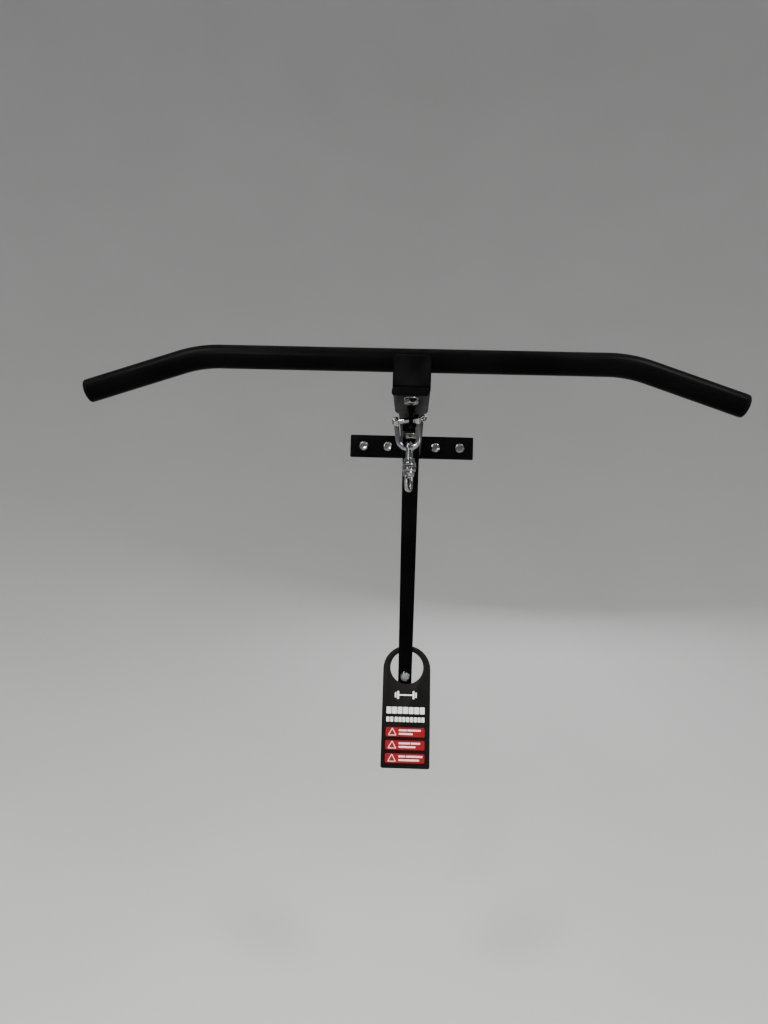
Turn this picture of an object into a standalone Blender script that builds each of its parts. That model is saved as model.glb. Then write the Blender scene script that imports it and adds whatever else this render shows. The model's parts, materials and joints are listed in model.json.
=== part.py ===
"""Wall mounted pull-up bar on one braced arm, with a shackle, a swivel and a hanging tag.

The origin is the centre of the wall plate's back face.  The wall is the plane y = 0, the arm
reaches out along -Y, +X is the user's right when facing the wall and +Z is up.  Lengths are metres.
"""

import math

import bmesh
import bpy
from mathutils import Matrix, Vector

# ---- driving dimensions -------------------------------------------------------------------

GAP = 0.0003                 # air left between pieces that touch
CHAMFER = 0.001              # on the ends of plugs and pins
EASE = 0.0002                # keeps the faces of joined shapes apart
CUT_MARGIN = 0.010           # cutters reach this far past a surface

PLATE_LENGTH = 0.274
PLATE_HEIGHT = 0.050
PLATE_THICKNESS = 0.005
PLATE_CORNER = 0.002
PLATE_EDGE = 0.0008          # bevel round the front face
PLATE_BOLT_X = (-0.107, -0.053, 0.053, 0.107)

BOLT_RADIUS = 0.005          # M10
HOLE_RADIUS = 0.0055
HEX_ACROSS_FLATS = 0.017
HEX_HEAD_HEIGHT = 0.0064
HEX_CHAMFER = 0.0009
NUT_ACROSS_FLATS = 0.0162
NUT_HEIGHT = 0.008
WASHER_RADIUS = 0.010
WASHER_THICKNESS = 0.002

ARM_SIZE = 0.040
ARM_WALL = 0.003
ARM_END = 0.645              # distance of the arm's front end from the wall
ARM_CORNER = 0.004
TUBE_INNER_CORNER = 0.0015   # least radius inside a tube's corners

SLEEVE_SIZE = 0.050
SLEEVE_WALL = 0.004
SLEEVE_REAR = 0.550
SLEEVE_FRONT = 0.699
SLEEVE_CORNER = 0.006
END_CAP_THICKNESS = 0.004
END_CAP_HEIGHT = 0.0430      # the flange is lower than the tube, to leave room for the stop
END_CAP_RAISE = 0.0035       # centre of the flange above the arm's axis
END_CAP_CORNER = 0.006
END_CAP_STEM = 0.010          # ends just in front of the bar
END_CAP_STEM_WIDTH = 0.041
END_CAP_STEM_HEIGHT = 0.0375
END_CAP_STEM_RAISE = 0.00175
STOP_WIDTH = 0.0490          # strip across the sleeve's front, under the cap
STOP_HEIGHT = 0.0111
STOP_THICKNESS = 0.005
STOP_EDGE = 0.0020
STOP_OFFSET = -0.0012        # it sits a little to the left

BAR_RADIUS = 0.016
BAR_WALL = 0.0025
BAR_DISTANCE = 0.670         # bar axis from the wall
BAR_HEIGHT = 0.025           # bar axis above the arm's axis
BAR_BEND_X = 0.288           # where the straight and the bent centre lines meet
BAR_BEND_ANGLE = math.radians(18.7)
BAR_BEND_RADIUS = 0.170
BAR_BENT_LENGTH = 0.157
BAR_CAP_STEM = 0.012
BAR_CAP_THICKNESS = 0.006
BAR_SEGMENTS = 28
BAR_NUT_HEIGHT = 0.016       # underside of the nut inside the bar
BOLT_TIP = 0.002             # bolt beyond its nut
ARM_WELD_LEG = 0.004
SLEEVE_WELD_LEG = 0.0036
LUG_WELD_LEG = 0.003
WELD_CORNER = 0.0035

LUG_DISTANCE = 0.585
LUG_THICKNESS = 0.006
LUG_WIDTH = 0.030
LUG_HOLE_RADIUS = 0.0065
LUG_HOLE_DROP = 0.0165       # hole centre below the sleeve
LUG_EDGE = 0.0105            # metal round the hole, from its centre
LUG_SHOULDER = 0.005         # straight sides below the sleeve

STRUT_WIDTH = 0.030
STRUT_THICKNESS = 0.008
STRUT_CORNER = 0.0012
STRUT_BEND_RADIUS = 0.012
STRUT_FOOT_END = 0.530       # lower end of the tab on the wall, below the arm's axis
STRUT_FOOT_BEND = 0.487
STRUT_TOP_BEND = 0.333       # from the wall
STRUT_TOP_END = 0.405
STRUT_FOOT_BOLT = 0.507
STRUT_TOP_BOLT = 0.380

SHACKLE_TILT = math.radians(-8.0)
SHACKLE_OFFSET = -0.0068     # the shackle hangs to the left of the lug
SHACKLE_WIRE = 0.00375
SHACKLE_INSIDE = 0.023
SHACKLE_LENGTH = 0.037       # pin axis to the inside of the bow
SHACKLE_PIN_RADIUS = 0.0040
SHACKLE_EAR_RADIUS = 0.0072
SHACKLE_PIN_EYE = 0.0050
SHACKLE_PIN_EYE_HOLE = 0.0022
SHACKLE_PIN_EYE_HALF = 0.002
SHACKLE_PIN_COLLAR = 0.0060
SHACKLE_PIN_COLLAR_END = 0.0014   # these two are measured from the bow's outer side
SHACKLE_PIN_EYE_START = 0.0012

SWIVEL_TURN = math.radians(-20.0)
SWIVEL_LOWER_TURN = math.radians(-10.0)   # the lower eye has spun this much further
SWIVEL_WIRE = 0.00275
SWIVEL_EYE_PLAY = 0.0008     # between the bow and the top of the upper eye
SWIVEL_EYE_LEAN = 0.001      # the upper eye is narrower at its root
SWIVEL_EYE_HALF = 0.008
SWIVEL_FLANGE_RADIUS = 0.010
SWIVEL_FLANGE = 0.0052
SWIVEL_COLLAR_RADIUS = 0.0085
SWIVEL_UPPER_COLLAR = 0.006
SWIVEL_LOWER_COLLAR = 0.008
SWIVEL_UPPER_DROP = 0.0259   # bow wire's axis to the underside of the upper flange
SWIVEL_WASHER_RADIUS = 0.011
SWIVEL_WASHER = 0.001
SWIVEL_PLAY = 0.0009         # air on each side of the thrust washer
SWIVEL_PIN_RADIUS = 0.003
SWIVEL_PIN_HEAD = 0.0037
SWIVEL_PIN_HEAD_HEIGHT = 0.0025
SWIVEL_LOOP_LENGTH = 0.022   # lower collar to the loop's lowest point
SWIVEL_LOOP_ROOT = 0.0068    # half widths of the lower loop
SWIVEL_LOOP_BOTTOM = 0.0058
SWIVEL_LOOP_CORNER = 0.0048
SWIVEL_LOOP_WAIST = 0.005
SWIVEL_ROOT_DEPTH = 0.003    # wire sunk into the collars
SWIVEL_EDGE = 0.0007

TAG_WIDTH = 0.102
TAG_LENGTH = 0.255
TAG_THICKNESS = 0.003
TAG_HOLE_RADIUS = 0.0355
TAG_RING = 0.0115            # above the hole
TAG_CORNER = 0.004
TAG_TILT = math.radians(18.0)
TAG_SIDE_TILT = math.radians(0.55)
TAG_OFFSET = 0.0035          # the tag hangs a little to the right
TAG_REST_DISTANCE = 0.0202   # where the ring rests on the strut, from the wall
TAG_REST_CLEARANCE = 0.0021

UP = Vector((0, 0, 1))
DOWN = Vector((0, 0, -1))
RIGHT = Vector((1, 0, 0))
OUTWARD = Vector((0, -1, 0))


# ---- sections, all as lists of (u, v) ------------------------------------------------------

def circle(radius, segments=24):
    turns = [2 * math.pi * i / segments for i in range(segments)]
    return [(radius * math.cos(a), radius * math.sin(a)) for a in turns]


def hexagon(across_flats, segments=24):
    """A hexagon's outline, read at even angles so that it lofts to a circle."""
    points = []
    for i in range(segments):
        angle = 2 * math.pi * i / segments
        from_flat = (angle % (math.pi / 3)) - math.pi / 6
        radius = across_flats / 2 / math.cos(from_flat)
        points.append((radius * math.cos(angle), radius * math.sin(angle)))
    return points


def rounded_rectangle(width, height, radius, steps=3):
    points = []
    corners = ((1, 1), (-1, 1), (-1, -1), (1, -1))
    for quarter, (sx, sy) in enumerate(corners):
        cx = sx * (width / 2 - radius)
        cy = sy * (height / 2 - radius)
        for i in range(steps + 1):
            angle = math.pi / 2 * (quarter + i / steps)
            points.append((cx + radius * math.cos(angle), cy + radius * math.sin(angle)))
    return points


# ---- meshes ---------------------------------------------------------------------------------

def basis(direction):
    """Two axes square to a direction, the first of them along +X where it can be."""
    reference = Vector((0, 1, 0)) if abs(direction.x) > 0.9 else RIGHT
    u_axis = (reference - direction * reference.dot(direction)).normalized()
    return u_axis, direction.cross(u_axis)


def placed(section, centre, direction):
    u_axis, v_axis = basis(direction)
    return [centre + u_axis * u + v_axis * v for u, v in section]


def loft(name, rings, closed=False):
    """One closed body through rings of equal length, with end faces, or ring to ring."""
    mesh_data = bmesh.new()
    loops = [[mesh_data.verts.new(point) for point in ring] for ring in rings]
    count = len(loops[0])
    pairs = list(zip(loops, loops[1:]))
    if closed:
        pairs.append((loops[-1], loops[0]))
    else:
        mesh_data.faces.new(loops[0])
        mesh_data.faces.new(list(reversed(loops[-1])))
    for first, second in pairs:
        for i in range(count):
            j = (i + 1) % count
            mesh_data.faces.new((first[i], first[j], second[j], second[i]))
    bmesh.ops.recalc_face_normals(mesh_data, faces=mesh_data.faces)
    mesh = bpy.data.meshes.new(name)
    mesh_data.to_mesh(mesh)
    mesh_data.free()
    piece = bpy.data.objects.new(name, mesh)
    bpy.context.collection.objects.link(piece)
    return piece


def turned(name, start, direction, profile, closed=False):
    """A body along a straight axis, from a profile of (distance, section)."""
    rings = [placed(section, start + direction * distance, direction) for distance, section in profile]
    return loft(name, rings, closed)


def rod(name, start, end, radius, segments=24):
    direction = (end - start).normalized()
    section = circle(radius, segments)
    return turned(name, start, direction, [(0, section), ((end - start).length, section)])


def rounded_path(points, radius, steps):
    """A path through corner points, with each corner turned into an arc."""
    path = [points[0]]
    for before, corner, after in zip(points, points[1:], points[2:]):
        back = (before - corner).normalized()
        ahead = (after - corner).normalized()
        half = back.angle(ahead) / 2
        reach = radius / math.tan(half)
        centre = corner + (back + ahead).normalized() * radius / math.sin(half)
        first = corner + back * reach - centre
        last = corner + ahead * reach - centre
        total = first.angle(last)
        for i in range(steps + 1):
            t = i / steps
            weight_a = math.sin((1 - t) * total) / math.sin(total)
            weight_b = math.sin(t * total) / math.sin(total)
            path.append(centre + first * weight_a + last * weight_b)
    path.append(points[-1])
    return path


def swept_rings(path, section, across):
    """The section along a flat path; its u axis is square to the path's plane."""
    rings = []
    for i, point in enumerate(path):
        before = path[max(i - 1, 0)]
        after = path[min(i + 1, len(path) - 1)]
        v_axis = (after - before).normalized().cross(across)
        rings.append([point + across * u + v_axis * v for u, v in section])
    return rings


def combine(operation, target, others):
    """Apply Booleans to the target and remove the other pieces."""
    for other in others:
        modifier = target.modifiers.new("shape", "BOOLEAN")
        modifier.operation = operation
        modifier.solver = "EXACT"
        modifier.object = other
    bpy.context.view_layer.update()
    evaluated = target.evaluated_get(bpy.context.evaluated_depsgraph_get())
    mesh = bpy.data.meshes.new_from_object(evaluated)
    target.modifiers.clear()
    target.data = mesh
    for other in others:
        bpy.data.objects.remove(other, do_unlink=True)
    return target


def cut(target, *cutters):
    return combine("DIFFERENCE", target, cutters)


def join(target, *others):
    return combine("UNION", target, others)


def finish(piece, material, smooth_angle=35.0):
    piece.data.materials.clear()
    piece.data.materials.append(material)
    piece.data.shade_smooth()
    piece.data.set_sharp_from_angle(angle=math.radians(smooth_angle))
    return piece


def paint(name, colour, roughness, metallic):
    material = bpy.data.materials.new(name)
    material.use_nodes = True
    shader = material.node_tree.nodes["Principled BSDF"]
    shader.inputs["Base Color"].default_value = (*colour, 1.0)
    shader.inputs["Roughness"].default_value = roughness
    shader.inputs["Metallic"].default_value = metallic
    return material


# ---- fasteners ------------------------------------------------------------------------------

def hex_bolt(name, bearing, direction, length, material):
    """A hexagon headed bolt; bearing is the point under its head, direction runs to its tip."""
    head = hexagon(HEX_ACROSS_FLATS)
    profile = [
        (-HEX_HEAD_HEIGHT, circle(HEX_ACROSS_FLATS * 0.47)),
        (-HEX_HEAD_HEIGHT + HEX_CHAMFER, head),
        (0.0, head),
        (0.0, circle(BOLT_RADIUS)),
        (length - CHAMFER, circle(BOLT_RADIUS)),
        (length, circle(BOLT_RADIUS - CHAMFER)),
    ]
    return finish(turned(name, bearing, direction, profile), material)


def washer(name, face, direction, material):
    """A plain washer from its face along a direction."""
    inner = circle(BOLT_RADIUS + GAP)
    outer = circle(WASHER_RADIUS)
    profile = [(0.0, inner), (0.0, outer), (WASHER_THICKNESS, outer), (WASHER_THICKNESS, inner)]
    return finish(turned(name, face, direction, profile, closed=True), material)


def nut(name, face, direction, material):
    inner = circle(BOLT_RADIUS + GAP)
    head = hexagon(NUT_ACROSS_FLATS)
    profile = [(0.0, inner), (0.0, head), (NUT_HEIGHT, head), (NUT_HEIGHT, inner)]
    return finish(turned(name, face, direction, profile, closed=True), material)


def bolt_and_washer(name, washer_name, surface, direction, length, material):
    """A washer on a surface with a bolt through it, pointing along the direction."""
    washer_face = surface - direction * GAP
    washer(washer_name, washer_face, -direction, material)
    bearing = washer_face - direction * (WASHER_THICKNESS + GAP)
    reach = (bearing - surface).length + length
    return hex_bolt(name, bearing, direction, reach, material)


# ---- frame ----------------------------------------------------------------------------------

def build_wall_plate(steel, zinc):
    outline = rounded_rectangle(PLATE_LENGTH, PLATE_HEIGHT, PLATE_CORNER)
    edge = 2 * PLATE_EDGE
    face = rounded_rectangle(PLATE_LENGTH - edge, PLATE_HEIGHT - edge, PLATE_CORNER - PLATE_EDGE)
    profile = [(0.0, outline), (PLATE_THICKNESS - PLATE_EDGE, outline), (PLATE_THICKNESS, face)]
    plate = turned("wall_plate", Vector(), OUTWARD, profile)
    holes = []
    for x in PLATE_BOLT_X:
        start = Vector((x, CUT_MARGIN, 0))
        holes.append(rod("hole", start, start + OUTWARD * 2 * CUT_MARGIN, HOLE_RADIUS))
    finish(cut(plate, *holes), steel)
    for number, x in enumerate(PLATE_BOLT_X, start=1):
        surface = Vector((x, -PLATE_THICKNESS, 0))
        face_point = surface + OUTWARD * GAP
        washer(f"wall_washer_{number}", face_point, OUTWARD, zinc)
        bearing = face_point + OUTWARD * (WASHER_THICKNESS + GAP)
        hex_bolt(f"wall_bolt_{number}", bearing, -OUTWARD, -bearing.y - GAP, zinc)


def square_tube(name, start, end, size, wall, corner):
    """A square tube along -Y, open at both ends."""
    outer = rounded_rectangle(size, size, corner)
    inner = rounded_rectangle(size - 2 * wall, size - 2 * wall, max(corner - wall, TUBE_INNER_CORNER))
    length = end - start
    profile = [(0.0, outer), (length, outer), (length, inner), (0.0, inner)]
    return turned(name, OUTWARD * start, OUTWARD, profile, closed=True)


def weld_collar(name, start, direction, size, corner, leg, steel):
    """A fillet weld round a rectangular section, from its wide end along the direction."""
    inner = rounded_rectangle(size[0] + 2 * GAP, size[1] + 2 * GAP, corner)
    wide = rounded_rectangle(size[0] + 2 * leg, size[1] + 2 * leg, corner + leg)
    belly = rounded_rectangle(size[0] + 1.15 * leg, size[1] + 1.15 * leg, corner + leg / 2)
    thin = rounded_rectangle(size[0] + 0.0014, size[1] + 0.0014, corner + GAP)
    profile = [(0.0, inner), (0.0, wide), (leg * 0.45, belly), (leg, thin), (leg, inner)]
    return finish(turned(name, start, direction, profile, closed=True), steel)


def build_arm(steel):
    start = PLATE_THICKNESS + GAP
    arm = square_tube("arm_tube", start, ARM_END, ARM_SIZE, ARM_WALL, ARM_CORNER)
    bolt = Vector((0, -STRUT_TOP_BOLT, 0))
    through = UP * (ARM_SIZE / 2 + CUT_MARGIN)
    cut(arm, rod("hole", bolt - through, bolt + through, HOLE_RADIUS))
    finish(arm, steel)
    size = (ARM_SIZE, ARM_SIZE)
    weld_collar("arm_weld", OUTWARD * start, OUTWARD, size, WELD_CORNER, ARM_WELD_LEG, steel)


def build_sleeve(steel):
    sleeve = square_tube("sleeve_tube", SLEEVE_REAR, SLEEVE_FRONT, SLEEVE_SIZE, SLEEVE_WALL, SLEEVE_CORNER)
    seat_centre = Vector((0, -BAR_DISTANCE, BAR_HEIGHT))
    through = RIGHT * (SLEEVE_SIZE / 2 + CUT_MARGIN)
    seat = rod("seat", seat_centre - through, seat_centre + through, BAR_RADIUS + GAP, 40)
    under = Vector((0, -BAR_DISTANCE, -SLEEVE_SIZE / 2 - CUT_MARGIN))
    hole = rod("hole", under, under + UP * 2 * CUT_MARGIN, HOLE_RADIUS)
    finish(cut(sleeve, seat, hole), steel)
    rear = OUTWARD * (SLEEVE_REAR - GAP)
    size = (ARM_SIZE, ARM_SIZE)
    weld_collar("sleeve_weld", rear, -OUTWARD, size, WELD_CORNER, SLEEVE_WELD_LEG, steel)


def cap_section(width, height, corner, raised):
    """A rounded rectangle raised above the arm's axis."""
    return [(u, v + raised) for u, v in rounded_rectangle(width, height, corner)]


def cap_flange(inset):
    width = SLEEVE_SIZE - 2 * inset
    return cap_section(width, END_CAP_HEIGHT - 2 * inset, END_CAP_CORNER - inset, END_CAP_RAISE)


def cap_stem(inset):
    width = END_CAP_STEM_WIDTH - 2 * inset
    height = END_CAP_STEM_HEIGHT - 2 * inset
    return cap_section(width, height, TUBE_INNER_CORNER, END_CAP_STEM_RAISE)


def build_front_end(steel, plastic):
    """The plug in the sleeve's end and the stop strip under it."""
    thick = END_CAP_THICKNESS
    profile = [(-END_CAP_STEM, cap_stem(CHAMFER)), (-END_CAP_STEM + CHAMFER, cap_stem(0.0)),
               (0.0, cap_stem(0.0)), (0.0, cap_flange(0.0)), (thick * 0.5, cap_flange(0.0)),
               (thick * 0.8, cap_flange(thick * 0.15)), (thick, cap_flange(thick * 0.6))]
    seat = OUTWARD * (SLEEVE_FRONT + GAP)
    finish(turned("front_end_cap", seat, OUTWARD, profile), plastic)

    low = END_CAP_RAISE - END_CAP_HEIGHT / 2 - GAP - STOP_HEIGHT
    start = Vector((STOP_OFFSET - STOP_WIDTH / 2, seat.y - STOP_THICKNESS / 2, low + STOP_HEIGHT / 2))
    full = rounded_rectangle(STOP_THICKNESS, STOP_HEIGHT, STOP_EDGE)
    soft = CHAMFER / 2
    end = rounded_rectangle(STOP_THICKNESS - 2 * soft, STOP_HEIGHT - 2 * soft, STOP_EDGE - soft)
    profile = [(0.0, end), (soft, full), (STOP_WIDTH - soft, full), (STOP_WIDTH, end)]
    finish(turned("front_stop", start, RIGHT, profile), steel)


def bar_path():
    drop = Vector((math.cos(BAR_BEND_ANGLE), 0, -math.sin(BAR_BEND_ANGLE))) * BAR_BENT_LENGTH
    right = Vector((BAR_BEND_X, -BAR_DISTANCE, BAR_HEIGHT))
    left = Vector((-BAR_BEND_X, -BAR_DISTANCE, BAR_HEIGHT))
    left_end = left + Vector((-drop.x, 0, drop.z))
    return rounded_path([left_end, left, right, right + drop], BAR_BEND_RADIUS, 8)


def build_bar(steel, plastic, zinc):
    path = bar_path()
    across = Vector((0, 1, 0))
    outer = swept_rings(path, circle(BAR_RADIUS, BAR_SEGMENTS), across)
    inner = swept_rings(path, circle(BAR_RADIUS - BAR_WALL, BAR_SEGMENTS), across)
    bar = loft("pull_up_bar", outer + inner[::-1], closed=True)
    axis = Vector((0, -BAR_DISTANCE, 0))
    cut(bar, rod("hole", axis, axis + UP * BAR_HEIGHT, HOLE_RADIUS))
    finish(bar, steel)

    stem = circle(BAR_RADIUS - BAR_WALL - GAP)
    rim = circle(BAR_RADIUS - EASE)
    thick = BAR_CAP_THICKNESS
    profile = [(-BAR_CAP_STEM, circle(BAR_RADIUS - BAR_WALL - CHAMFER)), (-BAR_CAP_STEM + CHAMFER, stem),
               (GAP, stem), (GAP, rim), (thick * 0.47, rim), (thick * 0.75, circle(BAR_RADIUS * 0.91)),
               (thick * 0.93, circle(BAR_RADIUS * 0.74)), (thick, circle(BAR_RADIUS * 0.44))]
    for side, end, inside in (("left", path[0], path[1]), ("right", path[-1], path[-2])):
        direction = (end - inside).normalized()
        finish(turned("bar_end_cap_" + side, end, direction, profile), plastic)

    under = Vector((0, -BAR_DISTANCE, -SLEEVE_SIZE / 2))
    nut_face = Vector((0, -BAR_DISTANCE, BAR_NUT_HEIGHT))
    nut("bar_nut", nut_face, UP, zinc)
    reach = nut_face.z - under.z + NUT_HEIGHT + BOLT_TIP
    bolt_and_washer("bar_bolt", "bar_bolt_washer", under, UP, reach, zinc)


def build_lug(steel):
    top = Vector((0, -LUG_DISTANCE, -SLEEVE_SIZE / 2 - GAP))
    hole_centre = top + DOWN * (LUG_HOLE_DROP - GAP)
    half = LUG_WIDTH / 2
    outline = [(-half, top.z), (-half, top.z - LUG_SHOULDER)]
    for i in range(13):
        angle = math.pi * (1 + i / 12)
        outline.append((LUG_EDGE * math.cos(angle), hole_centre.z + LUG_EDGE * math.sin(angle)))
    outline += [(half, top.z - LUG_SHOULDER), (half, top.z)]
    rings = []
    for x in (-LUG_THICKNESS / 2, LUG_THICKNESS / 2):
        rings.append([Vector((x, -LUG_DISTANCE + y, z)) for y, z in outline])
    lug = loft("hanger_lug", rings)
    side = RIGHT * CUT_MARGIN
    finish(cut(lug, rod("hole", hole_centre + side, hole_centre - side, LUG_HOLE_RADIUS)), steel)
    weld_collar("lug_weld", top, DOWN, (LUG_THICKNESS, LUG_WIDTH), GAP, LUG_WELD_LEG, steel)


def build_strut(steel, zinc):
    half = STRUT_THICKNESS / 2
    under_arm = -ARM_SIZE / 2 - GAP - half
    corners = [Vector((0, -half, -STRUT_FOOT_END)), Vector((0, -half, -STRUT_FOOT_BEND)),
               Vector((0, -STRUT_TOP_BEND, under_arm)), Vector((0, -STRUT_TOP_END, under_arm))]
    path = rounded_path(corners, STRUT_BEND_RADIUS, 6)
    section = rounded_rectangle(STRUT_WIDTH, STRUT_THICKNESS, STRUT_CORNER, steps=2)
    strut = loft("diagonal_strut", swept_rings(path, section, RIGHT))
    foot = Vector((0, CUT_MARGIN, -STRUT_FOOT_BOLT))
    top = Vector((0, -STRUT_TOP_BOLT, -ARM_SIZE / 2 - STRUT_THICKNESS - CUT_MARGIN))
    cut(strut, rod("hole", foot, foot + OUTWARD * 2 * CUT_MARGIN, HOLE_RADIUS),
        rod("hole", top, top + UP * 2 * CUT_MARGIN, HOLE_RADIUS))
    finish(strut, steel)

    foot_surface = Vector((0, -STRUT_THICKNESS, -STRUT_FOOT_BOLT))
    bolt_and_washer("foot_bolt", "foot_washer", foot_surface, -OUTWARD, STRUT_THICKNESS - GAP, zinc)
    under_tab = Vector((0, -STRUT_TOP_BOLT, under_arm - half))
    arm_top = Vector((0, -STRUT_TOP_BOLT, ARM_SIZE / 2))
    washer("strut_top_washer", arm_top + UP * GAP, UP, zinc)
    nut_face = arm_top + UP * (2 * GAP + WASHER_THICKNESS)
    nut("strut_nut", nut_face, UP, zinc)
    reach = nut_face.z + NUT_HEIGHT + BOLT_TIP - under_tab.z
    bolt_and_washer("strut_bolt", "strut_bolt_washer", under_tab, UP, reach, zinc)


# ---- shackle and swivel -----------------------------------------------------------------------

def pin_centre():
    return Vector((SHACKLE_OFFSET, -LUG_DISTANCE, -SLEEVE_SIZE / 2 - LUG_HOLE_DROP))


def shackle_frame():
    return Matrix.Translation(pin_centre()) @ Matrix.Rotation(SHACKLE_TILT, 4, "Y")


def bow_bottom():
    """The axis of the bow's wire at its lowest point."""
    return shackle_frame() @ Vector((0, 0, -SHACKLE_LENGTH - SHACKLE_WIRE))


def hang_on(piece, frame):
    piece.matrix_world = frame


def build_shackle(zinc):
    leg = SHACKLE_INSIDE / 2 + SHACKLE_WIRE
    low = -SHACKLE_LENGTH - SHACKLE_WIRE
    corners = [Vector((-leg, 0, 0)), Vector((-leg, 0, low)), Vector((leg, 0, low)), Vector((leg, 0, 0))]
    path = rounded_path(corners, leg - 3 * EASE, 9)
    bow = loft("shackle_bow", swept_rings(path, circle(SHACKLE_WIRE, 14), Vector((0, 1, 0))))
    ears = []
    holes = []
    for side in (-1, 1):
        centre = Vector((side * leg, 0, 0))
        reach = RIGHT * (SHACKLE_WIRE - EASE)
        ears.append(rod("ear", centre - reach, centre + reach, SHACKLE_EAR_RADIUS))
        through = RIGHT * CUT_MARGIN
        holes.append(rod("hole", centre - through, centre + through, SHACKLE_PIN_RADIUS + GAP))
    join(bow, *ears)
    cut(bow, *holes)
    hang_on(finish(bow, zinc), shackle_frame())

    outer = leg + SHACKLE_WIRE
    shank = circle(SHACKLE_PIN_RADIUS)
    collar = circle(SHACKLE_PIN_COLLAR)
    tip = circle(SHACKLE_PIN_RADIUS - CHAMFER)
    neck = circle(SHACKLE_PIN_EYE_HALF * 1.5)
    collar_end = outer + SHACKLE_PIN_COLLAR_END
    eye_centre = RIGHT * (outer + SHACKLE_PIN_EYE_START + SHACKLE_PIN_EYE)
    neck_end = eye_centre.x - SHACKLE_PIN_EYE_HOLE - EASE
    tip_end = -outer - 2 * CHAMFER
    profile = [(tip_end, tip), (tip_end + CHAMFER, shank), (outer + GAP, shank), (outer + GAP, collar),
               (collar_end, collar), (collar_end, neck), (neck_end, neck)]
    pin = turned("shackle_pin", Vector(), RIGHT, profile)
    thick = Vector((0, SHACKLE_PIN_EYE_HALF, 0))
    rim = rod("rim", eye_centre - thick, eye_centre + thick, SHACKLE_PIN_EYE)
    join(pin, rim)
    cut(pin, rod("hole", eye_centre - thick * 2, eye_centre + thick * 2, SHACKLE_PIN_EYE_HOLE))
    hang_on(finish(pin, zinc), shackle_frame())


def swivel_frame():
    """At the bow's wire, with the eyes' plane turned about the vertical."""
    return Matrix.Translation(bow_bottom()) @ Matrix.Rotation(SWIVEL_TURN, 4, "Z")


def swivel_body(name, flange_start, direction, collar, loop_corners, loop_radius, zinc):
    """A drilled flange and collar with a wire loop standing on it."""
    bore = circle(SWIVEL_PIN_RADIUS + GAP)
    flange = circle(SWIVEL_FLANGE_RADIUS)
    rim = circle(SWIVEL_FLANGE_RADIUS - SWIVEL_EDGE)
    neck = circle(SWIVEL_COLLAR_RADIUS)
    top = SWIVEL_FLANGE + collar
    profile = [(0.0, bore), (0.0, rim), (SWIVEL_EDGE, flange), (SWIVEL_FLANGE - SWIVEL_EDGE, flange),
               (SWIVEL_FLANGE, rim), (SWIVEL_FLANGE, neck), (top, neck), (top, bore)]
    body = turned(name, flange_start, direction, profile, closed=True)
    path = rounded_path(loop_corners, loop_radius, 6)
    loop = loft("loop", swept_rings(path, circle(SWIVEL_WIRE, 12), RIGHT))
    return finish(join(body, loop), zinc)


def build_swivel(zinc):
    frame = swivel_frame()
    half = SWIVEL_EYE_HALF
    eye_top = SHACKLE_WIRE + SWIVEL_EYE_PLAY + SWIVEL_WIRE
    upper_face = DOWN * SWIVEL_UPPER_DROP
    root = upper_face.z + SWIVEL_FLANGE + SWIVEL_UPPER_COLLAR - SWIVEL_ROOT_DEPTH
    narrow = half - SWIVEL_EYE_LEAN
    corners = [Vector((0, -narrow, root)), Vector((0, -half, eye_top)),
               Vector((0, half, eye_top)), Vector((0, narrow, root))]
    upper = swivel_body("swivel_upper_eye", upper_face, UP, SWIVEL_UPPER_COLLAR, corners,
                        half * 0.9, zinc)
    hang_on(upper, frame)

    outer = circle(SWIVEL_WASHER_RADIUS)
    inner = circle(SWIVEL_PIN_RADIUS + GAP)
    below = SWIVEL_PLAY + SWIVEL_WASHER
    profile = [(SWIVEL_PLAY, inner), (SWIVEL_PLAY, outer), (below, outer), (below, inner)]
    ring = turned("swivel_thrust_washer", upper_face, DOWN, profile, closed=True)
    hang_on(finish(ring, zinc), frame)

    lower_face = upper_face + DOWN * (below + SWIVEL_PLAY)
    collar_end = lower_face.z - SWIVEL_FLANGE - SWIVEL_LOWER_COLLAR
    bottom = collar_end - SWIVEL_LOOP_LENGTH + SWIVEL_WIRE
    waist = collar_end - SWIVEL_LOOP_WAIST
    sunk = collar_end + SWIVEL_ROOT_DEPTH
    corners = [Vector((0, -SWIVEL_LOOP_ROOT, sunk)), Vector((0, -half, waist)),
               Vector((0, -SWIVEL_LOOP_BOTTOM, bottom)), Vector((0, SWIVEL_LOOP_BOTTOM, bottom)),
               Vector((0, half, waist)), Vector((0, SWIVEL_LOOP_ROOT, sunk))]
    lower = swivel_body("swivel_lower_eye", lower_face, DOWN, SWIVEL_LOWER_COLLAR, corners,
                        SWIVEL_LOOP_CORNER, zinc)
    hang_on(lower, frame @ Matrix.Rotation(SWIVEL_LOWER_TURN, 4, "Z"))

    head_under = upper_face.z + SWIVEL_FLANGE + SWIVEL_UPPER_COLLAR + GAP
    tail_face = collar_end - GAP
    shank = circle(SWIVEL_PIN_RADIUS)
    head = circle(SWIVEL_PIN_HEAD)
    dome = circle(SWIVEL_PIN_HEAD * 0.7)
    length = head_under - tail_face
    height = SWIVEL_PIN_HEAD_HEIGHT
    profile = [(-height, dome), (-height * 0.5, head), (0.0, head), (0.0, shank),
               (length, shank), (length, head), (length + height * 0.5, head), (length + height, dome)]
    pin = turned("swivel_pin", UP * head_under, DOWN, profile)
    hang_on(finish(pin, zinc), frame)


# ---- hanging tag --------------------------------------------------------------------------------

def strut_upper_face_height(distance):
    """Height of the strut's upper face at a distance from the wall."""
    half = STRUT_THICKNESS / 2
    run = STRUT_TOP_BEND - half
    rise = STRUT_FOOT_BEND - ARM_SIZE / 2 - GAP - half
    slope = rise / run
    return -STRUT_FOOT_BEND + (distance - half) * slope + half * math.hypot(1, slope)


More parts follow.
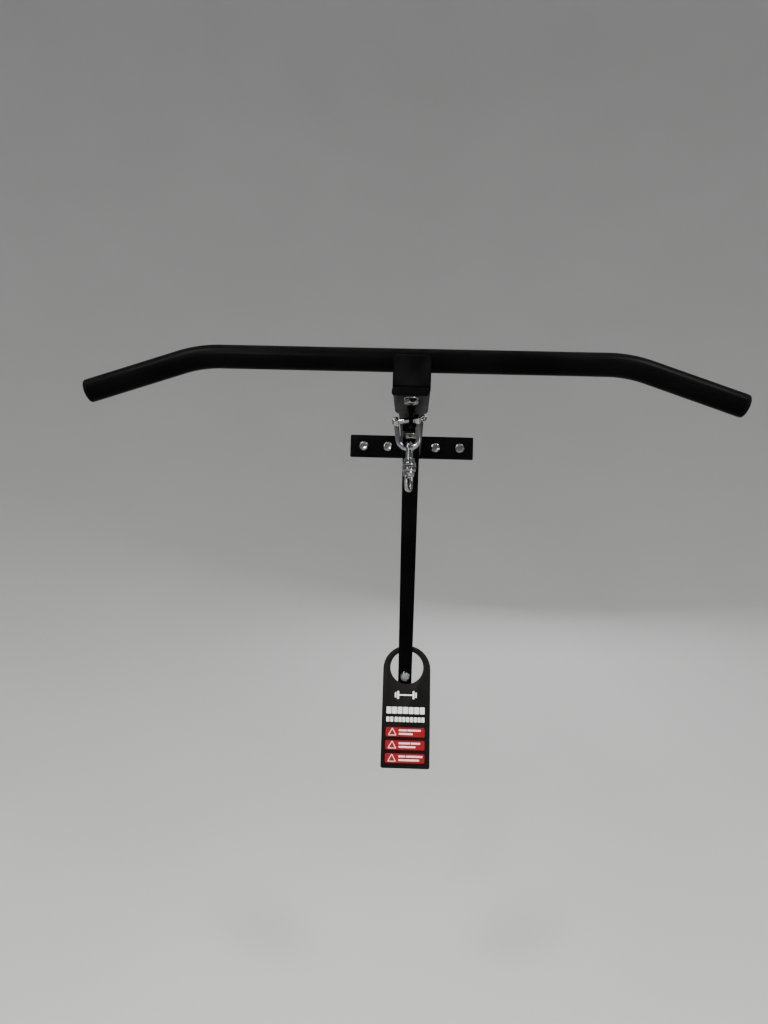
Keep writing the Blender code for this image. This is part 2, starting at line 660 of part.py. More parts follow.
def build_tag(card):
    """A flat card with a hole, hung over the strut; local z = 0 is where its ring rests."""
    reach = math.sqrt(TAG_HOLE_RADIUS ** 2 - (STRUT_WIDTH / 2 + TAG_OFFSET) ** 2)
    hole_z = TAG_REST_CLEARANCE - reach
    top = hole_z + TAG_HOLE_RADIUS + TAG_RING
    half = TAG_WIDTH / 2
    bottom = top - TAG_LENGTH
    arch_z = top - half
    outline = []
    for i in range(33):
        angle = math.pi * i / 32
        outline.append((half * math.cos(angle), arch_z + half * math.sin(angle)))
    for side in (-1, 1):
        for i in range(4):
            angle = math.pi / 2 * i / 3 + (math.pi if side < 0 else 1.5 * math.pi)
            corner_x = side * (half - TAG_CORNER)
            corner_z = bottom + TAG_CORNER
            outline.append((corner_x + TAG_CORNER * math.cos(angle), corner_z + TAG_CORNER * math.sin(angle)))
    rings = [[Vector((x, y, z)) for x, z in outline] for y in (-TAG_THICKNESS / 2, TAG_THICKNESS / 2)]
    tag = loft("hang_tag", rings)
    centre = Vector((0, 0, hole_z))
    side_step = Vector((0, CUT_MARGIN, 0))
    finish(cut(tag, rod("hole", centre - side_step, centre + side_step, TAG_HOLE_RADIUS, 48)), card)
    rest = Vector((TAG_OFFSET, -TAG_REST_DISTANCE, strut_upper_face_height(TAG_REST_DISTANCE)))
    turn = Matrix.Rotation(-TAG_TILT, 4, "X") @ Matrix.Rotation(-TAG_SIDE_TILT, 4, "Y")
    hang_on(tag, Matrix.Translation(rest) @ turn)


# ---- the whole object ---------------------------------------------------------------------------

def main():
    for old in list(bpy.data.objects):
        bpy.data.objects.remove(old, do_unlink=True)
    steel = paint("black_powder_coat", (0.012, 0.012, 0.013), 0.45, 0.0)
    zinc = paint("bright_zinc", (0.62, 0.64, 0.66), 0.28, 1.0)
    plastic = paint("black_plastic", (0.016, 0.016, 0.017), 0.5, 0.0)
    card = paint("black_card", (0.010, 0.010, 0.011), 0.55, 0.0)
    build_wall_plate(steel, zinc)
    build_arm(steel)
    build_sleeve(steel)
    build_front_end(steel, plastic)
    build_bar(steel, plastic, zinc)
    build_lug(steel)
    build_strut(steel, zinc)
    build_shackle(zinc)
    build_swivel(zinc)
    build_tag(card)


main()
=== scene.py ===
"""Looks of the wall mounted pull-up bar: finished meshes, materials, soft studio light and camera."""

import json
import math

import bmesh
import bpy
from mathutils import Matrix, Vector


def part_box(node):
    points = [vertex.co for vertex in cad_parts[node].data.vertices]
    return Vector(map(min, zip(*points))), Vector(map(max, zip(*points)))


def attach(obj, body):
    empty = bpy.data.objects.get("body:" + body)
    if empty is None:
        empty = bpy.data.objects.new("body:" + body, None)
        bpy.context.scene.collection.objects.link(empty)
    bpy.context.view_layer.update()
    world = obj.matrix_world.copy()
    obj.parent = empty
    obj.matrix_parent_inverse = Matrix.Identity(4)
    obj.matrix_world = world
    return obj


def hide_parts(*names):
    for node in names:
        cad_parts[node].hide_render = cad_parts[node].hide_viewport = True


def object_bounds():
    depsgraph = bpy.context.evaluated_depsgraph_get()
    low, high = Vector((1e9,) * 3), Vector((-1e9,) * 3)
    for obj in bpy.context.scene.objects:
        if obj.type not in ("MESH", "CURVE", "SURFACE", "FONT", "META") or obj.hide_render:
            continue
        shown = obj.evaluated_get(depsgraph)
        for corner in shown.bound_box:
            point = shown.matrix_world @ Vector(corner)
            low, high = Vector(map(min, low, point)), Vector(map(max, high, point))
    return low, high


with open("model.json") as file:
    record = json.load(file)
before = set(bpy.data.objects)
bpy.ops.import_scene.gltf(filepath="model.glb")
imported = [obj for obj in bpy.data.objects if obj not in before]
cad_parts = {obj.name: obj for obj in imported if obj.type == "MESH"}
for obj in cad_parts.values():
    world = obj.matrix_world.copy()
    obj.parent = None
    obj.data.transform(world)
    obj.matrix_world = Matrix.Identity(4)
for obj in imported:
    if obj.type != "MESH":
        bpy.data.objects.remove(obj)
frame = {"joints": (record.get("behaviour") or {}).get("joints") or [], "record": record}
cad_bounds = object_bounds()

# ---- sizes, metres; places come from the frame ----

GAP = 0.0003
UP = Vector((0, 0, 1))
DOWN = Vector((0, 0, -1))
RIGHT = Vector((1, 0, 0))
INWARD = Vector((0, 1, 0))
OUTWARD = Vector((0, -1, 0))

BOLT_RADIUS = 0.005
BOLT_PITCH = 0.0015
HEX_ACROSS_FLATS = 0.017
HEX_HEAD_HEIGHT = 0.0064
WASHER_HOLE = BOLT_RADIUS + GAP
HOLE_RADIUS = 0.0055
HEX_TOP_FACE = 0.465       # radius in widths across flats
HEX_WASHER_FACE = 0.475    # radius in widths across flats
HEX_TOP_CHAMFER = 0.0017
STAMPED_EDGE = 0.0004      # also the rounding of a tube's sawn end

ARM_WALL = 0.003
ARM_CORNER = 0.004
SLEEVE_WALL = 0.004
SLEEVE_CORNER = 0.006
WELD_CORNER = 0.0035
ARM_WELD_LEG = 0.004
SLEEVE_WELD_LEG = 0.0036
LUG_WELD_LEG = 0.003
WELD_RIPPLE = 0.0019
LUG_HOLE = 0.0065
LUG_SHOULDER = 0.005
CAP_STEM = 0.010
CAP_STEM_WIDTH = 0.041
CAP_STEM_HEIGHT = 0.0375
CAP_STEM_RAISE = 0.00175
CAP_CORNER = 0.006
CAP_RIB = 0.0029
STOP_CORNER = 0.004

BAR_WALL = 0.0025
BAR_BEND_X = 0.288
BAR_BEND_ANGLE = math.radians(18.7)
BAR_BEND_RADIUS = 0.170
BAR_BENT_LENGTH = 0.157
PLUG_LENGTH = 0.012
PLUG_RIB = 0.0036
PLUG_RIM = 0.0026          # height of the end plug's straight rim
PLUG_DOME = 0.006

STRUT_THICKNESS = 0.008
STRUT_BEND_RADIUS = 0.012
STRUT_FOOT_BEND = 0.487
STRUT_TOP_BEND = 0.333
STRUT_CORNER = 0.0012

SHACKLE_WIRE = 0.00375
SHACKLE_INSIDE = 0.023
SHACKLE_PIN_RADIUS = 0.0040
SHACKLE_EAR_RADIUS = 0.0072
SHACKLE_PIN_EYE = 0.0050
SHACKLE_PIN_COLLAR = 0.0060
SHACKLE_PIN_EYE_START = 0.0012

SWIVEL_TURN = math.radians(-20.0)
SWIVEL_LOWER_TURN = math.radians(-10.0)
SWIVEL_WIRE = 0.00275
SWIVEL_EYE_PLAY = 0.0008
SWIVEL_EYE_HALF = 0.008
SWIVEL_FLANGE_RADIUS = 0.010
SWIVEL_FLANGE = 0.0052
SWIVEL_COLLAR_RADIUS = 0.0085
SWIVEL_UPPER_COLLAR = 0.006
SWIVEL_LOWER_COLLAR = 0.008
SWIVEL_UPPER_DROP = 0.0259
SWIVEL_WASHER = 0.001
SWIVEL_PLAY = 0.0009
SWIVEL_PIN_RADIUS = 0.003
SWIVEL_PIN_HEAD = 0.0037
SWIVEL_LOOP_LENGTH = 0.022

TAG_WIDTH = 0.102
TAG_LENGTH = 0.255
TAG_THICKNESS = 0.003
TAG_HOLE_RADIUS = 0.0355
TAG_RING = 0.0115
TAG_CORNER = 0.004
TAG_TILT = math.radians(18.0)
TAG_SIDE_TILT = math.radians(0.55)
TAG_HOLE_DROP = 0.028199   # rest line to the hole's centre, along the tag
PRINT_THICKNESS = 0.00012
PRINT_CENTRE = -0.0009
PRINT_WIDTH = 0.0806
MARK_DROP = 0.106          # drops run from the tag's top edge
PANEL_DROP = 0.1825
PANEL_PITCH = 0.0262

FLOOR_DROP = 0.55          # floor below the lowest point of the object
STUDIO_RADIUS = 9.0
STUDIO_BEND = 8.0
STUDIO_WALL = 26.0
CAMERA_PLACE = Vector((0.0054, -1.6618, -0.2293))

BODY_OF = {node: body for body, nodes in frame["record"]["behaviour"]["bodies"].items() for node in nodes}


# ---- sections, all as lists of (u, v) ----

def circle(radius, segments=48):
    turns = [2 * math.pi * i / segments for i in range(segments)]
    return [(radius * math.cos(a), radius * math.sin(a)) for a in turns]


def hexagon(across_flats, limit=1.0, segments=48, turn=0.0):
    """A hexagon's outline read at even angles and cut off at a limiting radius."""
    points = []
    for i in range(segments):
        angle = 2 * math.pi * i / segments
        from_flat = (angle % (math.pi / 3)) - math.pi / 6
        radius = min(across_flats / 2 / math.cos(from_flat), limit)
        points.append((radius * math.cos(angle + turn), radius * math.sin(angle + turn)))
    return points


def rounded_rectangle(width, height, radius, steps=8):
    points = []
    for quarter, (sx, sy) in enumerate(((1, 1), (-1, 1), (-1, -1), (1, -1))):
        cx = sx * (width / 2 - radius)
        cy = sy * (height / 2 - radius)
        for i in range(steps + 1):
            angle = math.pi / 2 * (quarter + i / steps)
            points.append((cx + radius * math.cos(angle), cy + radius * math.sin(angle)))
    return points


# ---- meshes ----

def basis(direction):
    reference = INWARD if abs(direction.x) > 0.9 else RIGHT
    u_axis = (reference - direction * reference.dot(direction)).normalized()
    return u_axis, direction.cross(u_axis)


def placed(section, centre, direction):
    u_axis, v_axis = basis(direction)
    return [centre + u_axis * u + v_axis * v for u, v in section]


def loft(name, rings, closed=False):
    """One closed body through rings of equal length, with end faces, or ring to ring."""
    shape = bmesh.new()
    loops = [[shape.verts.new(point) for point in ring] for ring in rings]
    count = len(loops[0])
    pairs = list(zip(loops, loops[1:]))
    if closed:
        pairs.append((loops[-1], loops[0]))
    else:
        shape.faces.new(loops[0])
        shape.faces.new(list(reversed(loops[-1])))
    for first, second in pairs:
        for i in range(count):
            j = (i + 1) % count
            shape.faces.new((first[i], first[j], second[j], second[i]))
    bmesh.ops.recalc_face_normals(shape, faces=shape.faces)
    mesh = bpy.data.meshes.new(name)
    shape.to_mesh(mesh)
    shape.free()
    piece = bpy.data.objects.new(name, mesh)
    bpy.context.scene.collection.objects.link(piece)
    return piece


def turned(name, start, direction, profile, closed=False):
    rings = [placed(section, start + direction * distance, direction) for distance, section in profile]
    return loft(name, rings, closed)


def rod(name, start, end, radius, segments=48):
    direction = (end - start).normalized()
    section = circle(radius, segments)
    return turned(name, start, direction, [(0, section), ((end - start).length, section)])


def rounded_path(points, radius, steps):
    """A path through corner points, with each corner turned into an arc."""
    path = [points[0]]
    for before, corner, after in zip(points, points[1:], points[2:]):
        back = (before - corner).normalized()
        ahead = (after - corner).normalized()
        half = back.angle(ahead) / 2
        reach = radius / math.tan(half)
        centre = corner + (back + ahead).normalized() * radius / math.sin(half)
        first = corner + back * reach - centre
        last = corner + ahead * reach - centre
        total = first.angle(last)
        for i in range(steps + 1):
            t = i / steps
            weight_a = math.sin((1 - t) * total) / math.sin(total)
            weight_b = math.sin(t * total) / math.sin(total)
            path.append(centre + first * weight_a + last * weight_b)
    path.append(points[-1])
    return path


def swept_rings(path, sections, across):
    """Sections along a flat path; their u axis is square to the path's plane."""
    rings = []
    for i, (point, section) in enumerate(zip(path, sections)):
        before = path[max(i - 1, 0)]
        after = path[min(i + 1, len(path) - 1)]
        v_axis = (after - before).normalized().cross(across)
        rings.append([point + across * u + v_axis * v for u, v in section])
    return rings


def apply_modifiers(piece):
    bpy.context.view_layer.update()
    mesh = bpy.data.meshes.new_from_object(piece.evaluated_get(bpy.context.evaluated_depsgraph_get()))
    piece.modifiers.clear()
    piece.data = mesh
    return piece


def combine(operation, target, others):
    for other in others:
        modifier = target.modifiers.new("shape", "BOOLEAN")
        modifier.operation = operation
        modifier.solver = "EXACT"
        modifier.object = other
    apply_modifiers(target)
    for other in others:
        bpy.data.objects.remove(other, do_unlink=True)
    return target


def cut(target, *cutters):
    return combine("DIFFERENCE", target, cutters)


def join(target, *others):
    return combine("UNION", target, others)


def forged(piece, voxel, rounds):
    """Melts joined shapes into one forged surface with soft inner corners."""
    remesh = piece.modifiers.new("remesh", "REMESH")
    remesh.mode = "VOXEL"
    remesh.voxel_size = voxel
    smooth = piece.modifiers.new("smooth", "SMOOTH")
    smooth.factor = 0.5
    smooth.iterations = rounds
    return apply_modifiers(piece)


def softened(piece, width, angle):
    """Rounds every edge sharper than an angle."""
    bevel = piece.modifiers.new("bevel", "BEVEL")
    bevel.width = width
    bevel.segments = 2
    bevel.limit_method = "ANGLE"
    bevel.angle_limit = math.radians(angle)
    return apply_modifiers(piece)


def wear(piece, material, node=None, body=None, smooth_angle=32.0):
    """Gives a piece its material and its place in the frame."""
    piece.data.materials.clear()
    piece.data.materials.append(material)
    piece.data.shade_smooth()
    piece.data.set_sharp_from_angle(angle=math.radians(smooth_angle))
    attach(piece, body or BODY_OF[node])
    if node:
        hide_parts(node)
    return piece


def moved(piece, matrix):
    piece.data.transform(matrix)
    return piece


def middle(node):
    low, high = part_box(node)
    return (low + high) / 2


def size(node):
    low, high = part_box(node)
    return high - low


def joint(name):
    """Centre and axis of a joint of the frame."""
    found = next(j for j in frame["joints"] if j["name"] == name)
    return Vector(found["pos_m"]), Vector(found["axis"]).normalized()


# ---- materials ----

class Nodes:
    """A short way to write a node tree."""

    def __init__(self, name):
        self.material = bpy.data.materials.new(name)
        self.material.use_nodes = True
        self.tree = self.material.node_tree
        self.shader = self.tree.nodes["Principled BSDF"]
        self.place = self.add("ShaderNodeTexCoord").outputs["Object"]

    def add(self, kind, **settings):
        node = self.tree.nodes.new(kind)
        for key, value in settings.items():
            setattr(node, key, value)
        return node

    def link(self, source, target):
        self.tree.links.new(source, target)

    def noise(self, scale, detail=2.0, stretch=(1, 1, 1)):
        mapping = self.add("ShaderNodeMapping")
        mapping.inputs["Scale"].default_value = stretch
        self.link(self.place, mapping.inputs["Vector"])
        noise = self.add("ShaderNodeTexNoise")
        noise.inputs["Scale"].default_value = scale
        noise.inputs["Detail"].default_value = detail
        self.link(mapping.outputs["Vector"], noise.inputs["Vector"])
        return noise.outputs["Fac"]

    def ranged(self, value, low, high, to_low, to_high):
        node = self.add("ShaderNodeMapRange")
        for key, number in zip(("From Min", "From Max", "To Min", "To Max"), (low, high, to_low, to_high)):
            node.inputs[key].default_value = number
        self.link(value, node.inputs["Value"])
        return node.outputs["Result"]

    def multiply(self, first, second):
        node = self.add("ShaderNodeMath", operation="MULTIPLY")
        self.link(first, node.inputs[0])
        self.link(second, node.inputs[1])
        return node.outputs["Value"]

    def mix(self, factor, first, second):
        """A colour between two, each of them a colour or a socket."""
        node = self.add("ShaderNodeMix", data_type="RGBA")
        self.link(factor, node.inputs["Factor"])
        for key, value in (("A", first), ("B", second)):
            socket = next(s for s in node.inputs if s.name == key and s.type == "RGBA")
            if isinstance(value, tuple):
                socket.default_value = (*value, 1.0)
            else:
                self.link(value, socket)
        return next(s for s in node.outputs if s.type == "RGBA")

    def bump(self, height, strength, distance, after=None):
        node = self.add("ShaderNodeBump")
        node.inputs["Strength"].default_value = strength
        node.inputs["Distance"].default_value = distance
        self.link(height, node.inputs["Height"])
        if after is not None:
            self.link(after, node.inputs["Normal"])
        return node.outputs["Normal"]

    def facing_up(self):
        """0 on undersides and sides to 1 on top, for settled dust."""
        normal = self.add("ShaderNodeNewGeometry").outputs["Normal"]
        split = self.add("ShaderNodeSeparateXYZ")
        self.link(normal, split.inputs["Vector"])
        return self.ranged(split.outputs["Z"], 0.3, 1.0, 0.0, 1.0)

    def edges(self, radius):
        """1 along sharp edges, from the lean of the bevelled normal."""
        bevel = self.add("ShaderNodeBevel", samples=4)
        bevel.inputs["Radius"].default_value = radius
        normal = self.add("ShaderNodeNewGeometry").outputs["Normal"]
        dot = self.add("ShaderNodeVectorMath", operation="DOT_PRODUCT")
        self.link(bevel.outputs["Normal"], dot.inputs[0])
        self.link(normal, dot.inputs[1])
        return self.ranged(dot.outputs["Value"], 0.97, 0.80, 0.0, 1.0)

    def painted_gap_shade(self, distance):
        """1 deep in a piece's own gaps and corners: painted shade taken from ambient occlusion."""
        occlusion = self.add("ShaderNodeAmbientOcclusion", samples=6, only_local=True)
        occlusion.inputs["Distance"].default_value = distance
        return self.ranged(occlusion.outputs["AO"], 0.75, 0.15, 0.0, 1.0)

    def finish(self, colour, roughness, normal, metallic=0.0):
        self.link(colour, self.shader.inputs["Base Color"])
        self.link(roughness, self.shader.inputs["Roughness"])
        self.link(normal, self.shader.inputs["Normal"])
        self.shader.inputs["Metallic"].default_value = metallic
        return self.material


def powder_coat():
    """Satin black powder coat: orange-peel skin, fine grit, dust on top and rubbed edges."""
    n = Nodes("black_powder_coat_detail")
    cloud = n.ranged(n.noise(9.0, 4.0), 0.35, 0.7, 0.0, 1.0)
    base = n.mix(cloud, (0.0012, 0.0012, 0.0013), (0.0026, 0.0026, 0.0027))
    dust = n.multiply(n.facing_up(), n.ranged(n.noise(60.0, 6.0), 0.4, 0.75, 0.02, 0.30))
    dusty = n.mix(dust, base, (0.022, 0.021, 0.019))
    rubbed = n.multiply(n.edges(0.0007), n.ranged(n.noise(170.0, 5.0), 0.5, 0.72, 0.0, 0.45))
    colour = n.mix(rubbed, dusty, (0.040, 0.039, 0.038))
    rough = n.ranged(n.noise(26.0, 5.0), 0.3, 0.7, 0.27, 0.37)
    peel = n.bump(n.noise(650.0, 2.0), 0.16, 0.0004)
    grit = n.bump(n.noise(2600.0, 1.0), 0.10, 0.00015, after=peel)
    n.shader.inputs["Specular IOR Level"].default_value = 0.012
    return n.finish(colour, rough, grit)


def bright_zinc():
    """Bright zinc plating with a faint yellow and blue cast, handling marks, a fine grain and painted
    shade deep in its own gaps.
    """
    n = Nodes("bright_zinc_detail")
    cast = n.ranged(n.noise(70.0, 3.0), 0.35, 0.65, 0.0, 1.0)
    base = n.mix(cast, (0.245, 0.253, 0.27), (0.325, 0.316, 0.295))
    dull = n.ranged(n.noise(300.0, 5.0), 0.52, 0.74, 0.0, 0.55)
    worn = n.mix(dull, base, (0.08, 0.08, 0.079))
    # painted shade: the zinc goes near black deep in its own gaps and corners
    colour = n.mix(n.painted_gap_shade(0.004), worn, (0.022, 0.021, 0.019))
    rough = n.ranged(n.noise(310.0, 5.0, stretch=(1, 1, 0.3)), 0.3, 0.75, 0.09, 0.24)
    scratches = n.bump(n.noise(900.0, 3.0, stretch=(0.12, 1, 1)), 0.10, 0.0002)
    grain = n.bump(n.noise(2200.0, 2.0), 0.06, 0.0001, after=scratches)
    return n.finish(colour, rough, grain, metallic=1.0)


def black_plastic():
    """Moulded black polyethylene with a fine spark-eroded grain."""
    n = Nodes("black_plastic_detail")
    cloud = n.ranged(n.noise(40.0, 3.0), 0.35, 0.65, 0.0, 1.0)
    base = n.mix(cloud, (0.0016, 0.0016, 0.0017), (0.0034, 0.0034, 0.0035))
    scuff = n.multiply(n.edges(0.0006), n.ranged(n.noise(220.0, 5.0), 0.45, 0.7, 0.0, 0.6))
    colour = n.mix(scuff, base, (0.07, 0.07, 0.07))
    rough = n.ranged(n.noise(120.0, 4.0), 0.3, 0.7, 0.34, 0.48)
    grain = n.bump(n.noise(1500.0, 3.0), 0.22, 0.0002)
    n.shader.inputs["Specular IOR Level"].default_value = 0.012
    return n.finish(colour, rough, grain)


def black_card():
    """Rigid black board with a matt laminate and light handling marks."""
    n = Nodes("black_card_detail")
    cloud = n.ranged(n.noise(14.0, 4.0), 0.3, 0.7, 0.0, 1.0)
    base = n.mix(cloud, (0.0016, 0.0016, 0.0016), (0.0032, 0.0031, 0.0028))
    scuff = n.multiply(n.edges(0.0005), n.ranged(n.noise(180.0, 5.0), 0.4, 0.7, 0.1, 0.7))
    colour = n.mix(scuff, base, (0.09, 0.09, 0.088))
    rough = n.ranged(n.noise(30.0, 6.0, stretch=(1, 1, 0.4)), 0.3, 0.7, 0.42, 0.58)
    fine = n.bump(n.noise(1100.0, 2.0), 0.05, 0.0001)
    n.shader.inputs["Specular IOR Level"].default_value = 0.09
    return n.finish(colour, rough, fine)


def printed(name, colour, worn):
    """Screen print ink: slightly uneven cover over the board."""
    n = Nodes(name)
    cover = n.ranged(n.noise(420.0, 5.0), 0.56, 0.74, 0.0, 0.55)
    cloud = n.ranged(n.noise(35.0, 3.0), 0.3, 0.7, 0.0, 0.25)
    tint = n.mix(cloud, colour, worn)
    shade = n.mix(cover, tint, worn)
    rough = n.ranged(n.noise(160.0, 3.0), 0.3, 0.7, 0.40, 0.52)
    fine = n.bump(n.noise(1400.0, 2.0), 0.06, 0.0001)
    n.shader.inputs["Specular IOR Level"].default_value = 0.12
    return n.finish(shade, rough, fine)


STEEL = powder_coat()
ZINC = bright_zinc()
PLASTIC = black_plastic()
CARD = black_card()
WHITE_INK = printed("white_ink", (0.74, 0.74, 0.72), (0.46, 0.46, 0.45))
RED_INK = printed("red_ink", (0.24, 0.002, 0.006), (0.15, 0.002, 0.004))


# ---- fasteners ----

def thread_rings(start, direction, length, radius, pitch, segments=36):
    """Rings of a real single-start thread."""
    depth = 0.55 * pitch
    count = max(int(length / pitch * 10), 6)
    rings = []
    for k in range(count + 1):
        along = length * k / count
        section = []
        for i in range(segments):
            phase = (along / pitch - i / segments) % 1.0
            r = radius - depth * (1.0 - abs(2.0 * phase - 1.0))
            angle = 2 * math.pi * i / segments
            section.append((r * math.cos(angle), r * math.sin(angle)))
        rings.append(placed(section, start + direction * along, direction))
    return rings


def hex_head_profile(flats, height, turn):
    """From the top of a head down to its washer face, as (distance from the bearing face, section)."""
    corner = flats / 2 / math.cos(math.pi / 6)
    profile = [(-height + 0.0005, circle(flats * 0.20)), (-height + 0.0002, circle(flats * 0.36)),
               (-height, circle(flats * 0.42)), (-height + 0.00005, circle(flats * HEX_TOP_FACE))]
    for i in range(1, 7):
        t = i / 6
        limit = flats * HEX_TOP_FACE + (corner - flats * HEX_TOP_FACE) * t
        fall = 0.00005 + HEX_TOP_CHAMFER * t * t ** 0.3
        profile.append((-height + fall, hexagon(flats, limit, turn=turn)))
    profile.append((-0.0005, hexagon(flats, turn=turn)))
    profile.append((-0.00045, circle(flats * HEX_WASHER_FACE)))
    profile.append((0.0, circle(flats * HEX_WASHER_FACE)))
    return profile


def detailed_bolt(node, direction, turn=0.0, thread=0.0):
    """A hexagon head bolt in place of a CAD one; direction runs from the head to the tip."""
    low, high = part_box(node)
    centre = (low + high) / 2
    half = abs((high - low).dot(direction)) / 2
    bearing = centre - direction * (half - HEX_HEAD_HEIGHT)
    length = 2 * half - HEX_HEAD_HEIGHT
    profile = hex_head_profile(HEX_ACROSS_FLATS, HEX_HEAD_HEIGHT, turn)
    shank_end = length - thread
    profile += [(0.0, circle(BOLT_RADIUS)), (shank_end - 0.0006, circle(BOLT_RADIUS))]
    if thread:
        core = BOLT_RADIUS - 0.0009
        profile.append((shank_end, circle(core)))
        profile += [(length - 0.0008, circle(core)), (length, circle(core - 0.0007))]
        bolt = turned(node + "_detail", bearing, direction, profile)
        rings = thread_rings(bearing + direction * shank_end, direction, thread - 0.0009,
                             BOLT_RADIUS - 0.0001, BOLT_PITCH)
        join(bolt, loft("thread", rings))
    else:
        profile += [(shank_end, circle(BOLT_RADIUS - 0.0008))]
        bolt = turned(node + "_detail", bearing, direction, profile)
    return wear(bolt, ZINC, node, smooth_angle=28.0)


def detailed_washer(node, direction):
    """A stamped washer: rolled edge on one face and a burr-free rim."""
    low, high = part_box(node)
    span = high - low
    thick = abs(span.dot(direction))
    outer = max(span) / 2
    start = (low + high) / 2 - direction * thick / 2
    soft = STAMPED_EDGE
    profile = [(0.0, circle(WASHER_HOLE + soft)), (0.0, circle(outer - soft)),
               (soft, circle(outer)), (thick - soft * 1.4, circle(outer)),
               (thick - soft * 0.5, circle(outer - soft * 0.5)), (thick, circle(outer - soft * 1.6)),
               (thick, circle(WASHER_HOLE + soft)), (thick - soft, circle(WASHER_HOLE)),
               (soft, circle(WASHER_HOLE))]
    return wear(turned(node + "_detail", start, direction, profile, closed=True), ZINC, node)


def detailed_nut(node, direction, turn=0.0):
    low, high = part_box(node)
    height = abs((high - low).dot(direction))
    start = (low + high) / 2 - direction * height / 2
    flats = HEX_ACROSS_FLATS - 0.0008
    corner = flats / 2 / math.cos(math.pi / 6)
    chamfer = []
    for i in range(6):
        t = i / 5
        limit = flats * HEX_WASHER_FACE + (corner - flats * HEX_WASHER_FACE) * t
        chamfer.append((0.0013 * t ** 1.4, hexagon(flats, limit, turn=turn)))
    profile = [(0.0006, circle(WASHER_HOLE)), (0.0, circle(WASHER_HOLE + 0.0006))]
    profile += chamfer
    profile += [(height - d, section) for d, section in reversed(chamfer)]
    profile += [(height, circle(WASHER_HOLE + 0.0006)), (height - 0.0006, circle(WASHER_HOLE))]
    nut = turned(node + "_detail", start, direction, profile, closed=True)
    return wear(nut, ZINC, node, smooth_angle=28.0)


def make_fasteners():
    turns = (8, 41, -17, 25)
    for number, degrees in enumerate(turns, start=1):
        detailed_bolt(f"wall_bolt_{number}", INWARD, turn=math.radians(degrees))
        detailed_washer(f"wall_washer_{number}", OUTWARD)
    detailed_bolt("foot_bolt", INWARD, turn=math.radians(19))
    detailed_washer("foot_washer", OUTWARD)
    detailed_bolt("bar_bolt", UP, turn=math.radians(12))
    detailed_washer("bar_bolt_washer", DOWN)
    detailed_nut("bar_nut", UP)
    detailed_bolt("strut_bolt", UP, turn=math.radians(-9), thread=0.014)
    detailed_washer("strut_bolt_washer", DOWN)
    detailed_washer("strut_top_washer", UP)
    detailed_nut("strut_nut", UP, turn=math.radians(21))


# ---- steel frame ----

def make_wall_plate():
    node = "wall_plate"
    span = size(node)
    soft = 0.0009
    outline = []
    for step in range(5):
        lean = math.pi / 2 * step / 4
        inset = soft * (1 - math.cos(lean))
        section = rounded_rectangle(span.x - 2 * inset, span.z - 2 * inset, 0.0024 - inset * 0.5)
        outline.append((span.y - soft + soft * math.sin(lean), section))
    back = rounded_rectangle(span.x - 0.0006, span.z - 0.0006, 0.0021)
    full = rounded_rectangle(span.x, span.z, 0.0024)
    start = Vector((middle(node).x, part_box(node)[1].y, middle(node).z))
    plate = turned(node + "_detail", start, OUTWARD, [(0.0, back), (0.0003, full)] + outline)
    holes = []
    for number in range(1, 5):
        centre = middle(f"wall_bolt_{number}")
        centre.y = 0.01
        holes.append(rod("hole", centre, centre + OUTWARD * 0.02, HOLE_RADIUS))
    wear(cut(plate, *holes), STEEL, node)


def square_tube(node, wall, corner):
    """A square tube along the arm, with softened saw-cut ends."""
    low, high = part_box(node)
    side = high.x - low.x
    length = high.y - low.y
    soft = STAMPED_EDGE
    rear = Vector(((low.x + high.x) / 2, high.y, (low.z + high.z) / 2))

    def outer(inset):
        return rounded_rectangle(side - 2 * inset, side - 2 * inset, corner - inset)

    def inner(inset):
        bore = side - 2 * wall + 2 * inset
        return rounded_rectangle(bore, bore, max(corner - wall, 0.0015) + inset)

    profile = [(0.0, outer(soft)), (soft, outer(0)), (length - soft, outer(0)),
               (length, outer(soft)), (length, inner(soft)), (length - soft, inner(0)),
               (soft, inner(0)), (0.0, inner(soft))]
    return turned(node + "_detail", rear, OUTWARD, profile, closed=True)


def make_arm():
    arm = square_tube("arm_tube", ARM_WALL, ARM_CORNER)
    through = middle("strut_bolt")
    through.z = -0.03
    cut(arm, rod("hole", through, through + UP * 0.06, HOLE_RADIUS))
    wear(arm, STEEL, "arm_tube")


def make_sleeve():
    sleeve = square_tube("sleeve_tube", SLEEVE_WALL, SLEEVE_CORNER)
    bar = middle("bar_bolt")
    radius = size("pull_up_bar").y / 2
    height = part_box("pull_up_bar")[1].z - radius
    seat_start = Vector((-0.04, bar.y, height))
    seat = rod("seat", seat_start, seat_start + RIGHT * 0.08, radius + GAP, 96)
    under = Vector((0, bar.y, -0.03))
    cut(sleeve, seat, rod("hole", under, under + UP * 0.015, HOLE_RADIUS))
    wear(sleeve, STEEL, "sleeve_tube")


